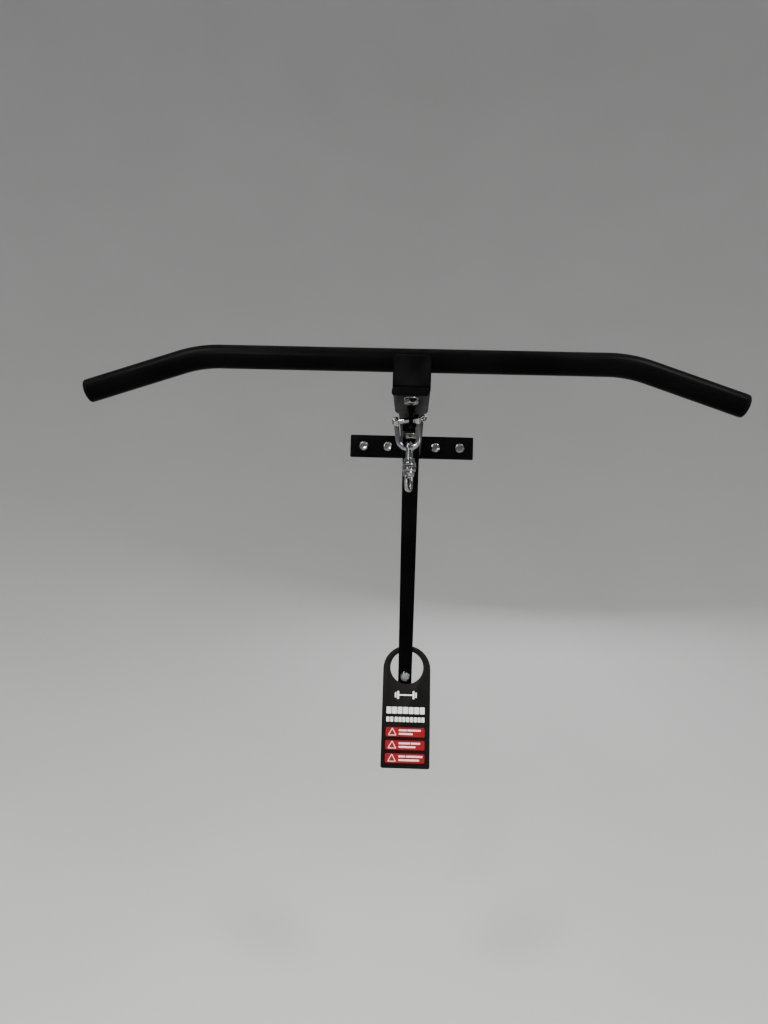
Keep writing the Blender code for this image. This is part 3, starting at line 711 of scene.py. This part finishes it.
def ripple_weld(node, start, direction, section_size, corner, leg):
    """A fillet weld round a rectangle: a half-round bead with the ripples of each dip of the rod."""
    width, height = section_size
    outline = rounded_rectangle(width + 2 * GAP, height + 2 * GAP, corner, steps=6)
    u_axis, v_axis = basis(direction)
    lengths = [0.0]
    closed_outline = outline + outline[:1]
    for a, b in zip(closed_outline, closed_outline[1:]):
        lengths.append(lengths[-1] + math.dist(a, b))
    total = lengths[-1]
    ripples = round(total / WELD_RIPPLE)
    steps = ripples * 5
    rings = []
    segment = 0
    for k in range(steps):
        along = total * k / steps
        while lengths[segment + 1] < along:
            segment += 1
        a, b = closed_outline[segment], closed_outline[segment + 1]
        span = max(lengths[segment + 1] - lengths[segment], 1e-9)
        t = (along - lengths[segment]) / span
        u = a[0] + (b[0] - a[0]) * t
        v = a[1] + (b[1] - a[1]) * t
        half_u = width / 2 - corner
        half_v = height / 2 - corner
        nu = u - max(-half_u, min(half_u, u))
        nv = v - max(-half_v, min(half_v, v))
        norm = math.hypot(nu, nv)
        normal = (u_axis * nu + v_axis * nv) / norm
        phase = (k % 5) / 5
        swell = 1.0 + 0.10 * math.sin(math.pi * phase) + 0.05 * math.sin(along * 900.0)
        root = start + u_axis * u + v_axis * v
        ring = [root]
        for i in range(7):
            angle = math.pi / 2 * i / 6
            bulge = 0.80 + 0.12 * math.sin(2 * angle)
            reach = leg * swell * bulge
            ring.append(root + normal * reach * math.cos(angle) + direction * reach * math.sin(angle))
        rings.append(ring)
    wear(loft(node + "_detail", rings, closed=True), STEEL, node, smooth_angle=50.0)


def make_welds():
    arm = size("arm_tube").x
    plate_side = Vector((0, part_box("arm_weld")[1].y, 0))
    ripple_weld("arm_weld", plate_side, OUTWARD, (arm, arm), WELD_CORNER, ARM_WELD_LEG)
    sleeve_side = Vector((0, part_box("sleeve_weld")[0].y, 0))
    ripple_weld("sleeve_weld", sleeve_side, INWARD, (arm, arm), WELD_CORNER, SLEEVE_WELD_LEG)
    lug = size("hanger_lug")
    under = middle("lug_weld")
    under.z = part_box("lug_weld")[1].z
    ripple_weld("lug_weld", under, DOWN, (lug.x, lug.y), GAP, LUG_WELD_LEG)


def soft_front(width, height, corner, thick, edge, raised=0.0):
    """The end of a plate's profile: its front face with a rounded edge."""
    profile = []
    for step in range(9):
        lean = math.pi / 2 * step / 8
        inset = edge * (1 - math.cos(lean))
        section = rounded_rectangle(width - 2 * inset, height - 2 * inset, corner - inset * 0.6)
        profile.append((thick - edge + edge * math.sin(lean), [(u, v + raised) for u, v in section]))
    return profile


def make_front_cap():
    """A ribbed plug with a soft-edged, slightly dished face."""
    node = "front_end_cap"
    low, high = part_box(node)
    width = high.x - low.x
    height = high.z - low.z
    raised = (high.z + low.z) / 2
    thick = high.y - low.y - CAP_STEM
    seat = Vector((0, high.y - CAP_STEM, 0))

    def stem(inset):
        section = rounded_rectangle(CAP_STEM_WIDTH - inset, CAP_STEM_HEIGHT - inset, 0.0012)
        return [(u, v + CAP_STEM_RAISE) for u, v in section]

    def face(inset, corner):
        section = rounded_rectangle(width - inset, height - inset, corner)
        return [(u, v + raised) for u, v in section]

    profile = [(-CAP_STEM, stem(0.0022))]
    for rib in range(3):
        start = -CAP_STEM + 0.0010 + rib * CAP_RIB
        for offset, inset in ((0.0, 0.0), (0.0008, 0.0), (0.0010, 0.0016), (0.0028, 0.0016)):
            profile.append((start + offset, stem(inset)))
    profile += [(0.0, stem(0.0016)), (0.0, face(0.0006, 0.0058)), (0.0004, face(0.0, CAP_CORNER))]
    edge = 0.0024
    profile += soft_front(width, height, CAP_CORNER, thick, edge, raised)
    profile.append((thick - 0.0001, face(2 * edge + 0.005, 0.004)))
    profile.append((thick - 0.0004, face(2 * edge + 0.008, 0.003)))
    wear(turned(node + "_detail", seat, OUTWARD, profile), PLASTIC, node)


def make_front_stop():
    """A steel strip across the sleeve's front with a rounded face."""
    node = "front_stop"
    low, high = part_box(node)
    span = high - low
    seat = middle(node)
    seat.y = high.y
    back = rounded_rectangle(span.x - 0.0008, span.z - 0.0008, STOP_CORNER - 0.0004)
    profile = [(0.0, back), (0.0004, rounded_rectangle(span.x, span.z, STOP_CORNER))]
    profile += soft_front(span.x, span.z, STOP_CORNER, span.y, 0.0022)
    wear(turned(node + "_detail", seat, OUTWARD, profile), STEEL, node)


def bar_path():
    axis_y = middle("bar_bolt").y
    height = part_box("pull_up_bar")[1].z - size("pull_up_bar").y / 2
    run = math.cos(BAR_BEND_ANGLE) * BAR_BENT_LENGTH
    fall = math.sin(BAR_BEND_ANGLE) * BAR_BENT_LENGTH
    corners = [Vector((-BAR_BEND_X - run, axis_y, height - fall)), Vector((-BAR_BEND_X, axis_y, height)),
               Vector((BAR_BEND_X, axis_y, height)), Vector((BAR_BEND_X + run, axis_y, height - fall))]
    return rounded_path(corners, BAR_BEND_RADIUS, 24)


def make_bar():
    path = bar_path()
    radius = size("pull_up_bar").y / 2
    segments = 64
    soft = 0.0004
    outer = swept_rings(path, [circle(radius, segments)] * len(path), INWARD)
    inner = swept_rings(path, [circle(radius - BAR_WALL, segments)] * len(path), INWARD)
    lead = (path[1] - path[0]).normalized() * soft
    tail = (path[-1] - path[-2]).normalized() * soft
    outer[0] = [p + lead for p in outer[0]]
    outer[-1] = [p - tail for p in outer[-1]]
    rim = swept_rings(path, [circle(radius - soft, segments)] * len(path), INWARD)
    rings = [rim[0]] + outer + [rim[-1]] + inner[::-1]
    bar = loft("pull_up_bar_detail", rings, closed=True)
    axis = Vector((0, path[0].y, 0))
    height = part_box("pull_up_bar")[1].z - radius
    cut(bar, rod("hole", axis, axis + UP * height, HOLE_RADIUS))
    wear(bar, STEEL, "pull_up_bar")


def make_bar_plugs():
    """Ribbed plugs with a rim and a domed face, in the bar's two ends."""
    path = bar_path()
    radius = size("pull_up_bar").y / 2
    stem = radius - BAR_WALL - GAP
    rim = radius - 0.0001
    profile = [(-PLUG_LENGTH, circle(stem - 0.0012))]
    for rib in range(3):
        start = -PLUG_LENGTH + 0.0008 + rib * PLUG_RIB
        for offset, inset in ((0.0, 0.0), (0.0010, 0.0), (0.0013, 0.0010), (0.0034, 0.0010)):
            profile.append((start + offset, circle(stem - inset)))
    profile += [(GAP, circle(stem - 0.0010)), (GAP, circle(radius - 0.0005)), (0.0007, circle(rim))]
    profile.append((PLUG_RIM, circle(rim)))
    for step in range(1, 11):
        lean = math.pi / 2 * step / 10
        height = PLUG_RIM + 0.0034 * math.sin(lean)
        profile.append((height, circle(rim - PLUG_DOME + PLUG_DOME * math.cos(lean))))
    profile.append((PLUG_RIM + 0.0036, circle(radius * 0.3)))
    for side, end, inside in (("left", path[0], path[1]), ("right", path[-1], path[-2])):
        node = "bar_end_cap_" + side
        wear(turned(node + "_detail", end, (end - inside).normalized(), profile), PLASTIC, node)


def make_lug():
    node = "hanger_lug"
    low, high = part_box(node)
    hole = joint("shackle_swing")[0]
    centre = Vector(((low.x + high.x) / 2, (low.y + high.y) / 2, hole.z))
    half = (high.y - low.y) / 2
    edge = hole.z - low.z
    thick = (high.x - low.x) / 2
    outline = [(-half, high.z), (-half, high.z - LUG_SHOULDER)]
    outline += [(edge * math.cos(a), hole.z + edge * math.sin(a))
                for a in (math.pi * (1 + i / 32) for i in range(33))]
    outline += [(half, high.z - LUG_SHOULDER), (half, high.z)]
    rings = [[Vector((centre.x + x, centre.y + y, z)) for y, z in outline] for x in (-thick, thick)]
    lug = loft(node + "_detail", rings)
    cut(lug, rod("hole", centre + RIGHT * 0.01, centre - RIGHT * 0.01, LUG_HOLE))
    wear(softened(lug, 0.0005, 50.0), STEEL, node)


def make_strut():
    node = "diagonal_strut"
    low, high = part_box(node)
    half = STRUT_THICKNESS / 2
    under_arm = high.z - half
    corners = [Vector((0, high.y - half, low.z)), Vector((0, high.y - half, -STRUT_FOOT_BEND)),
               Vector((0, -STRUT_TOP_BEND, under_arm)), Vector((0, low.y, under_arm))]
    path = rounded_path(corners, STRUT_BEND_RADIUS, 18)
    width = high.x - low.x
    section = rounded_rectangle(width, STRUT_THICKNESS, STRUT_CORNER, steps=4)
    blunt = rounded_rectangle(width - 0.001, STRUT_THICKNESS - 0.001, 0.0008, steps=4)
    ends = [path[0] + (path[1] - path[0]).normalized() * 0.0006,
            path[-1] + (path[-2] - path[-1]).normalized() * 0.0006]
    path = [path[0], ends[0]] + path[1:-1] + [ends[1], path[-1]]
    sections = [blunt] + [section] * (len(path) - 2) + [blunt]
    strut = loft(node + "_detail", swept_rings(path, sections, RIGHT))
    foot = middle("foot_bolt")
    foot.y = 0.01
    top = middle("strut_bolt")
    top.z = under_arm - 0.02
    cut(strut, rod("hole", foot, foot + OUTWARD * 0.03, HOLE_RADIUS),
        rod("hole", top, top + UP * 0.03, HOLE_RADIUS))
    wear(strut, STEEL, node)


# ---- shackle and swivel ----

def shackle_frame():
    """The pin's centre with local x along the pin."""
    centre, axis = joint("shackle_swing")
    upright = axis.cross(INWARD).normalized()
    turn = Matrix((axis, INWARD, upright)).transposed().to_4x4()
    return Matrix.Translation(centre) @ turn


def make_shackle_bow():
    low = -(joint("swivel_swing")[0] - joint("shackle_swing")[0]).length
    leg = SHACKLE_INSIDE / 2 + SHACKLE_WIRE
    corners = [Vector((-leg, 0, 0)), Vector((-leg, 0, low)), Vector((leg, 0, low)), Vector((leg, 0, 0))]
    path = rounded_path(corners, leg - 0.0004, 28)
    bow = loft("shackle_bow_detail", swept_rings(path, [circle(SHACKLE_WIRE, 32)] * len(path), INWARD))
    ears = []
    holes = []
    ear = SHACKLE_EAR_RADIUS
    thick = 2 * SHACKLE_WIRE
    soft = 0.0011
    profile = [(0.0, circle(ear - soft)), (soft * 0.35, circle(ear - soft * 0.3)), (soft, circle(ear)),
               (thick - soft, circle(ear)), (thick - soft * 0.35, circle(ear - soft * 0.3)),
               (thick, circle(ear - soft))]
    for side in (-1, 1):
        centre = Vector((side * leg, 0, 0))
        ears.append(turned("ear", centre - RIGHT * SHACKLE_WIRE, RIGHT, profile))
        holes.append(rod("hole", centre - RIGHT * 0.007, centre + RIGHT * 0.007,
                         SHACKLE_PIN_RADIUS + GAP))
    join(bow, *ears)
    forged(bow, 0.00042, 5)
    cut(bow, *holes)
    wear(moved(bow, shackle_frame()), ZINC, "shackle_bow", smooth_angle=45.0)


def make_shackle_pin():
    """The screw pin: shank with a thread at its tip, collar and flat eye."""
    outer = SHACKLE_INSIDE / 2 + 2 * SHACKLE_WIRE
    shank = circle(SHACKLE_PIN_RADIUS)
    eye = Vector((outer + SHACKLE_PIN_EYE_START + SHACKLE_PIN_EYE, 0, 0))
    collar = SHACKLE_PIN_COLLAR
    profile = [(-outer - 0.0002, circle(SHACKLE_PIN_RADIUS - 0.0009)), (-outer + 0.002, shank),
               (outer + GAP, shank), (outer + GAP, circle(collar - 0.0004)),
               (outer + 0.0006, circle(collar)),
               (outer + 0.0011, circle(collar)), (outer + 0.0014, circle(collar - 0.0006)),
               (outer + 0.0019, circle(0.0032)), (outer + 0.0037, circle(0.0022))]
    pin = turned("shackle_pin_detail", Vector(), RIGHT, profile)
    thread = loft("thread", thread_rings(Vector((-outer - 0.0020, 0, 0)), RIGHT, 0.0021,
                                         SHACKLE_PIN_RADIUS - 0.0001, 0.00125))
    wire = 0.0014
    flat_wire = [(wire * math.cos(a), 0.0019 * math.sin(a))
                 for a in (2 * math.pi * j / 16 for j in range(16))]
    rings = []
    for i in range(40):
        angle = 2 * math.pi * i / 40
        out = Vector((math.cos(angle), 0, math.sin(angle)))
        centre = eye + out * (SHACKLE_PIN_EYE - wire)
        rings.append([centre + out * u + INWARD * v for u, v in flat_wire])
    join(pin, thread, loft("ring", rings, closed=True))
    wear(moved(pin, shackle_frame()), ZINC, "shackle_pin")


def swivel_body(node, flange_start, direction, collar, loop_corners, loop_radius, place):
    """A drilled, machined end: flange, collar and a wire loop standing on it."""
    bore = circle(SWIVEL_PIN_RADIUS + GAP)
    r = SWIVEL_FLANGE_RADIUS
    top = SWIVEL_FLANGE + collar
    neck = SWIVEL_COLLAR_RADIUS
    profile = [(0.0, bore), (0.0, circle(r - 0.0009)), (0.0003, circle(r - 0.0003)), (0.0009, circle(r)),
               (SWIVEL_FLANGE - 0.0009, circle(r)), (SWIVEL_FLANGE - 0.0003, circle(r - 0.0003)),
               (SWIVEL_FLANGE, circle(r - 0.0009)), (SWIVEL_FLANGE, circle(neck - 0.0006)),
               (top - 0.0014, circle(neck - 0.0006)), (top - 0.0004, circle(neck - 0.0014)),
               (top, circle(neck - 0.0028)), (top, bore)]
    body = turned(node + "_detail", flange_start, direction, profile, closed=True)
    path = rounded_path(loop_corners, loop_radius, 16)
    loop = loft("loop", swept_rings(path, [circle(SWIVEL_WIRE, 28)] * len(path), RIGHT))
    join(body, loop)
    return wear(moved(body, place), ZINC, node, smooth_angle=40.0)


def make_swivel():
    centre = joint("swivel_swing")[0]
    place = Matrix.Translation(centre) @ Matrix.Rotation(SWIVEL_TURN, 4, "Z")
    half = SWIVEL_EYE_HALF
    eye_top = SHACKLE_WIRE + SWIVEL_EYE_PLAY + SWIVEL_WIRE
    upper_face = DOWN * SWIVEL_UPPER_DROP
    root = upper_face.z + SWIVEL_FLANGE + SWIVEL_UPPER_COLLAR - 0.003
    corners = [Vector((0, -half + 0.001, root)), Vector((0, -half, eye_top)),
               Vector((0, half, eye_top)), Vector((0, half - 0.001, root))]
    swivel_body("swivel_upper_eye", upper_face, UP, SWIVEL_UPPER_COLLAR, corners, half * 0.9, place)

    outer = size("swivel_thrust_washer").x / 2
    inner = SWIVEL_PIN_RADIUS + GAP
    top = SWIVEL_PLAY
    below = SWIVEL_PLAY + SWIVEL_WASHER
    profile = [(top, circle(inner)), (top, circle(outer - 0.0002)), (top + 0.0003, circle(outer)),
               (below - 0.0003, circle(outer)), (below, circle(outer - 0.0002)), (below, circle(inner))]
    ring = turned("swivel_thrust_washer_detail", upper_face, DOWN, profile, closed=True)
    wear(moved(ring, place), ZINC, "swivel_thrust_washer")

    lower_face = upper_face + DOWN * (below + SWIVEL_PLAY)
    collar_end = lower_face.z - SWIVEL_FLANGE - SWIVEL_LOWER_COLLAR
    bottom = collar_end - SWIVEL_LOOP_LENGTH + SWIVEL_WIRE
    waist = collar_end - 0.005
    corners = [Vector((0, -0.0068, collar_end + 0.003)), Vector((0, -half, waist)),
               Vector((0, -0.0058, bottom)), Vector((0, 0.0058, bottom)),
               Vector((0, half, waist)), Vector((0, 0.0068, collar_end + 0.003))]
    lower_place = place @ Matrix.Rotation(SWIVEL_LOWER_TURN, 4, "Z")
    swivel_body("swivel_lower_eye", lower_face, DOWN, SWIVEL_LOWER_COLLAR, corners, 0.0048, lower_place)

    head_under = upper_face.z + SWIVEL_FLANGE + SWIVEL_UPPER_COLLAR + GAP
    length = head_under - collar_end + GAP
    shank = circle(SWIVEL_PIN_RADIUS)
    dome = [(0.0025 * math.sin(a), circle(SWIVEL_PIN_HEAD * math.cos(a) * 0.92 + 0.0003))
            for a in (math.pi / 2 * i / 8 for i in range(8))]
    profile = [(-d, section) for d, section in reversed(dome)]
    profile += [(0.0, shank), (length, shank)]
    profile += [(length + d, section) for d, section in dome]
    pin = turned("swivel_pin_detail", UP * head_under, DOWN, profile)
    wear(moved(pin, place), ZINC, "swivel_pin")


# ---- hanging tag ----

def tag_place():
    rest = joint("tag_swing")[0]
    turn = Matrix.Rotation(-TAG_TILT, 4, "X") @ Matrix.Rotation(-TAG_SIDE_TILT, 4, "Y")
    return Matrix.Translation(rest) @ turn


TAG_TOP = -TAG_HOLE_DROP + TAG_HOLE_RADIUS + TAG_RING


def tag_outline():
    half = TAG_WIDTH / 2
    bottom = TAG_TOP - TAG_LENGTH
    arch_z = TAG_TOP - half
    turns = [math.pi * i / 72 for i in range(73)]
    outline = [(half * math.cos(a), arch_z + half * math.sin(a)) for a in turns]
    for side in (-1, 1):
        for i in range(9):
            angle = math.pi / 2 * i / 8 + (math.pi if side < 0 else 1.5 * math.pi)
            outline.append((side * (half - TAG_CORNER) + TAG_CORNER * math.cos(angle),
                            bottom + TAG_CORNER + TAG_CORNER * math.sin(angle)))
    return outline


def make_tag():
    half = TAG_THICKNESS / 2
    rings = [[Vector((x, y, z)) for x, z in tag_outline()] for y in (-half, half)]
    tag = loft("hang_tag_detail", rings)
    centre = Vector((0, 0, -TAG_HOLE_DROP))
    cut(tag, rod("hole", centre - INWARD * 0.01, centre + INWARD * 0.01, TAG_HOLE_RADIUS, 128))
    softened(tag, 0.00045, 60.0)
    wear(moved(tag, tag_place()), CARD, "hang_tag")


def flat_shape(outline, holes=()):
    """A thin printed shape on the tag's face, from (x, z) on the tag; z runs down from its top edge."""
    front = -TAG_THICKNESS / 2 - PRINT_THICKNESS
    back = -TAG_THICKNESS / 2 + PRINT_THICKNESS
    rings = [[Vector((x, y, TAG_TOP - z)) for x, z in outline] for y in (front, back)]
    shape = loft("ink", rings)
    cutters = []
    for hole in holes:
        cutters.append(loft("gap", [[Vector((x, y, TAG_TOP - z)) for x, z in hole]
                                    for y in (front - 0.001, back + 0.001)]))
    return cut(shape, *cutters) if cutters else shape


def bar_shape(x, z, width, height, radius=0.0006):
    """A rounded bar whose left end is at x and whose middle is z below the tag's top."""
    return [(x + width / 2 + u, z + v) for u, v in rounded_rectangle(width, height, radius, steps=4)]


def triangle(x, z, radius, corner):
    """A triangle with round corners about a centre, point up."""
    points = []
    for k in range(3):
        middle_angle = -math.pi / 2 + 2 * math.pi * k / 3
        cx = x + (radius - 2 * corner) * math.cos(middle_angle)
        cz = z + (radius - 2 * corner) * math.sin(middle_angle)
        for i in range(5):
            angle = middle_angle + math.pi / 3 * (i / 2 - 1)
            points.append((cx + corner * math.cos(angle), cz + corner * math.sin(angle)))
    return points


def printed_group(name, shapes, ink):
    """Several printed shapes as one piece."""
    first = shapes[0]
    with bpy.context.temp_override(active_object=first, selected_editable_objects=shapes, object=first):
        bpy.ops.object.join()
    first.name = name
    wear(moved(first, tag_place()), ink, body="tag")


def make_print():
    """Generic print: a plain mark, two bold lines and three red panels, with no lettering."""
    white = []
    centre = PRINT_CENTRE
    left = centre - PRINT_WIDTH / 2
    white.append(flat_shape(bar_shape(centre - 0.0150, MARK_DROP, 0.030, 0.0028)))
    for side in (-1, 1):
        inner = centre + side * 0.0165
        outer = centre + side * 0.0218
        white.append(flat_shape(bar_shape(inner - 0.0020, MARK_DROP, 0.0040, 0.0165, 0.0012)))
        white.append(flat_shape(bar_shape(outer - 0.0016, MARK_DROP, 0.0032, 0.0110, 0.0010)))
    for z, height, blocks, spaces in ((0.1380, 0.0140, 7, ()), (0.1568, 0.0100, 10, (2,))):
        gap = 0.0016
        width = (PRINT_WIDTH - gap * (blocks - 1 + len(spaces))) / blocks
        x = left
        for number in range(blocks):
            x += gap if number in spaces else 0.0
            white.append(flat_shape(bar_shape(x, z, width, height, 0.0012)))
            x += width + gap
    red = []
    dash_widths = (((0.016, 0.028), (0.029,)), ((0.024, 0.019), (0.035,)), ((0.014, 0.034), (0.043,)))
    for row, lines in enumerate(dash_widths):
        z = PANEL_DROP + row * PANEL_PITCH
        icon_x = centre - 0.0270
        icon = triangle(icon_x, z + 0.0016, 0.0105, 0.0010)
        dashes = []
        for line, words in enumerate(lines):
            x = -0.014
            for width in words:
                dashes.append(bar_shape(x, z - 0.0036 + line * 0.0072, width, 0.0034))
                x += width + 0.0018
        red.append(flat_shape(bar_shape(centre - 0.041, z, 0.082, 0.0188, 0.0026), [icon] + dashes))
        white.append(flat_shape(icon, [triangle(icon_x, z + 0.0016, 0.0082, 0.0008)]))
        red.append(flat_shape(triangle(icon_x, z + 0.0016, 0.0082, 0.0008)))
        for dash in dashes:
            white.append(flat_shape(dash))
    printed_group("tag_print_white", white, WHITE_INK)
    printed_group("tag_print_red", red, RED_INK)


# ---- stage, lights and camera ----

def make_stage():
    """A round studio: a pale floor that curves up into a pale wall all the way round."""
    floor_z = cad_bounds[0].z - FLOOR_DROP
    flat = STUDIO_RADIUS - STUDIO_BEND
    profile = [(0.02, floor_z), (flat, floor_z)]
    for i in range(1, 25):
        angle = math.pi / 2 * i / 24
        rise = STUDIO_BEND * (1 - math.cos(angle))
        profile.append((flat + STUDIO_BEND * math.sin(angle), floor_z + rise))
    profile.append((STUDIO_RADIUS, floor_z + STUDIO_WALL))
    shape = bmesh.new()
    segments = 96
    loops = []
    for radius, z in profile:
        loops.append([shape.verts.new((x, y, z)) for x, y in circle(radius, segments)])
    shape.faces.new(loops[0])
    for first, second in zip(loops, loops[1:]):
        for i in range(segments):
            j = (i + 1) % segments
            shape.faces.new((first[i], second[i], second[j], first[j]))
    bmesh.ops.recalc_face_normals(shape, faces=shape.faces)
    mesh = bpy.data.meshes.new("studio")
    shape.to_mesh(mesh)
    shape.free()
    mesh.shade_smooth()
    studio = bpy.data.objects.new("studio", mesh)
    bpy.context.scene.collection.objects.link(studio)
    n = Nodes("studio_paint")
    cloud = n.ranged(n.noise(0.6, 2.0), 0.3, 0.7, 0.0, 1.0)
    colour = n.mix(cloud, (0.60, 0.60, 0.595), (0.63, 0.63, 0.625))
    rough = n.ranged(n.noise(3.0, 2.0), 0.3, 0.7, 0.85, 0.95)
    grain = n.bump(n.noise(120.0, 2.0), 0.05, 0.0005)
    mesh.materials.append(n.finish(colour, rough, grain))


def area_light(name, place, target, side, power, colour, mirrored=True):
    """A round soft light; one that is not mirrored gives no reflection of its own."""
    light = bpy.data.lights.new(name, "AREA")
    light.shape = "DISK"
    light.size = side
    light.energy = power
    light.color = colour
    lamp = bpy.data.objects.new(name, light)
    bpy.context.scene.collection.objects.link(lamp)
    lamp.location = place
    lamp.rotation_euler = (Vector(target) - Vector(place)).to_track_quat("-Z", "Y").to_euler()
    lamp.visible_glossy = mirrored
    lamp.visible_camera = False


def make_lights():
    middle_point = (cad_bounds[0] + cad_bounds[1]) / 2
    area_light("ceiling_left", (-1.3, -1.9, 2.0), middle_point, 0.9, 75, (1.0, 0.97, 0.93))
    area_light("ceiling_right", (1.4, -1.6, 1.9), middle_point, 0.9, 65, (1.0, 0.98, 0.95))
    area_light("front_fill", (-0.4, -4.2, 0.3), middle_point, 2.2, 60, (0.98, 0.98, 1.0), mirrored=False)
    area_light("rear_fill", (0.8, 3.2, 1.2), middle_point, 2.4, 50, (0.98, 0.98, 1.0), mirrored=False)
    area_light("room_lamp", (-0.55, -2.1, 0.75), middle_point, 0.16, 14, (1.0, 0.98, 0.94))
    area_light("window", (1.7, -2.3, -0.1), middle_point, 0.5, 16, (0.93, 0.97, 1.0))
    world = bpy.data.worlds.new("studio_air")
    world.use_nodes = True
    background = world.node_tree.nodes["Background"]
    background.inputs["Color"].default_value = (0.82, 0.83, 0.85, 1.0)
    background.inputs["Strength"].default_value = 1.25
    bpy.context.scene.world = world


def make_camera():
    """A phone's main camera at chest height below the bar, tilted a little up and to the left."""
    image_height = 1024
    focal_pixels = 745.0
    yaw = math.radians(2.164)
    pitch = math.radians(2.848)
    roll = math.radians(-1.778)
    ahead = math.cos(pitch)
    forward = Vector((-math.sin(yaw) * ahead, math.cos(yaw) * ahead, math.sin(pitch)))
    level_right = Vector((math.cos(yaw), math.sin(yaw), 0))
    level_up = level_right.cross(forward)
    right = level_right * math.cos(roll) - level_up * math.sin(roll)
    up = level_right * math.sin(roll) + level_up * math.cos(roll)
    data = bpy.data.cameras.new("photo_camera")
    data.sensor_width = 36.0
    data.lens = focal_pixels / image_height * data.sensor_width
    camera = bpy.data.objects.new("photo_camera", data)
    bpy.context.scene.collection.objects.link(camera)
    turn = Matrix((right, up, -forward)).transposed().to_4x4()
    camera.matrix_world = Matrix.Translation(CAMERA_PLACE) @ turn
    bpy.context.scene.camera = camera


# ---- the whole scene ----

make_camera()
make_wall_plate()
make_arm()
make_sleeve()
make_welds()
make_front_cap()
make_front_stop()
make_bar()
make_bar_plugs()
make_lug()
make_strut()
make_fasteners()
make_shackle_bow()
make_shackle_pin()
make_swivel()
make_tag()
make_print()
make_stage()
make_lights()
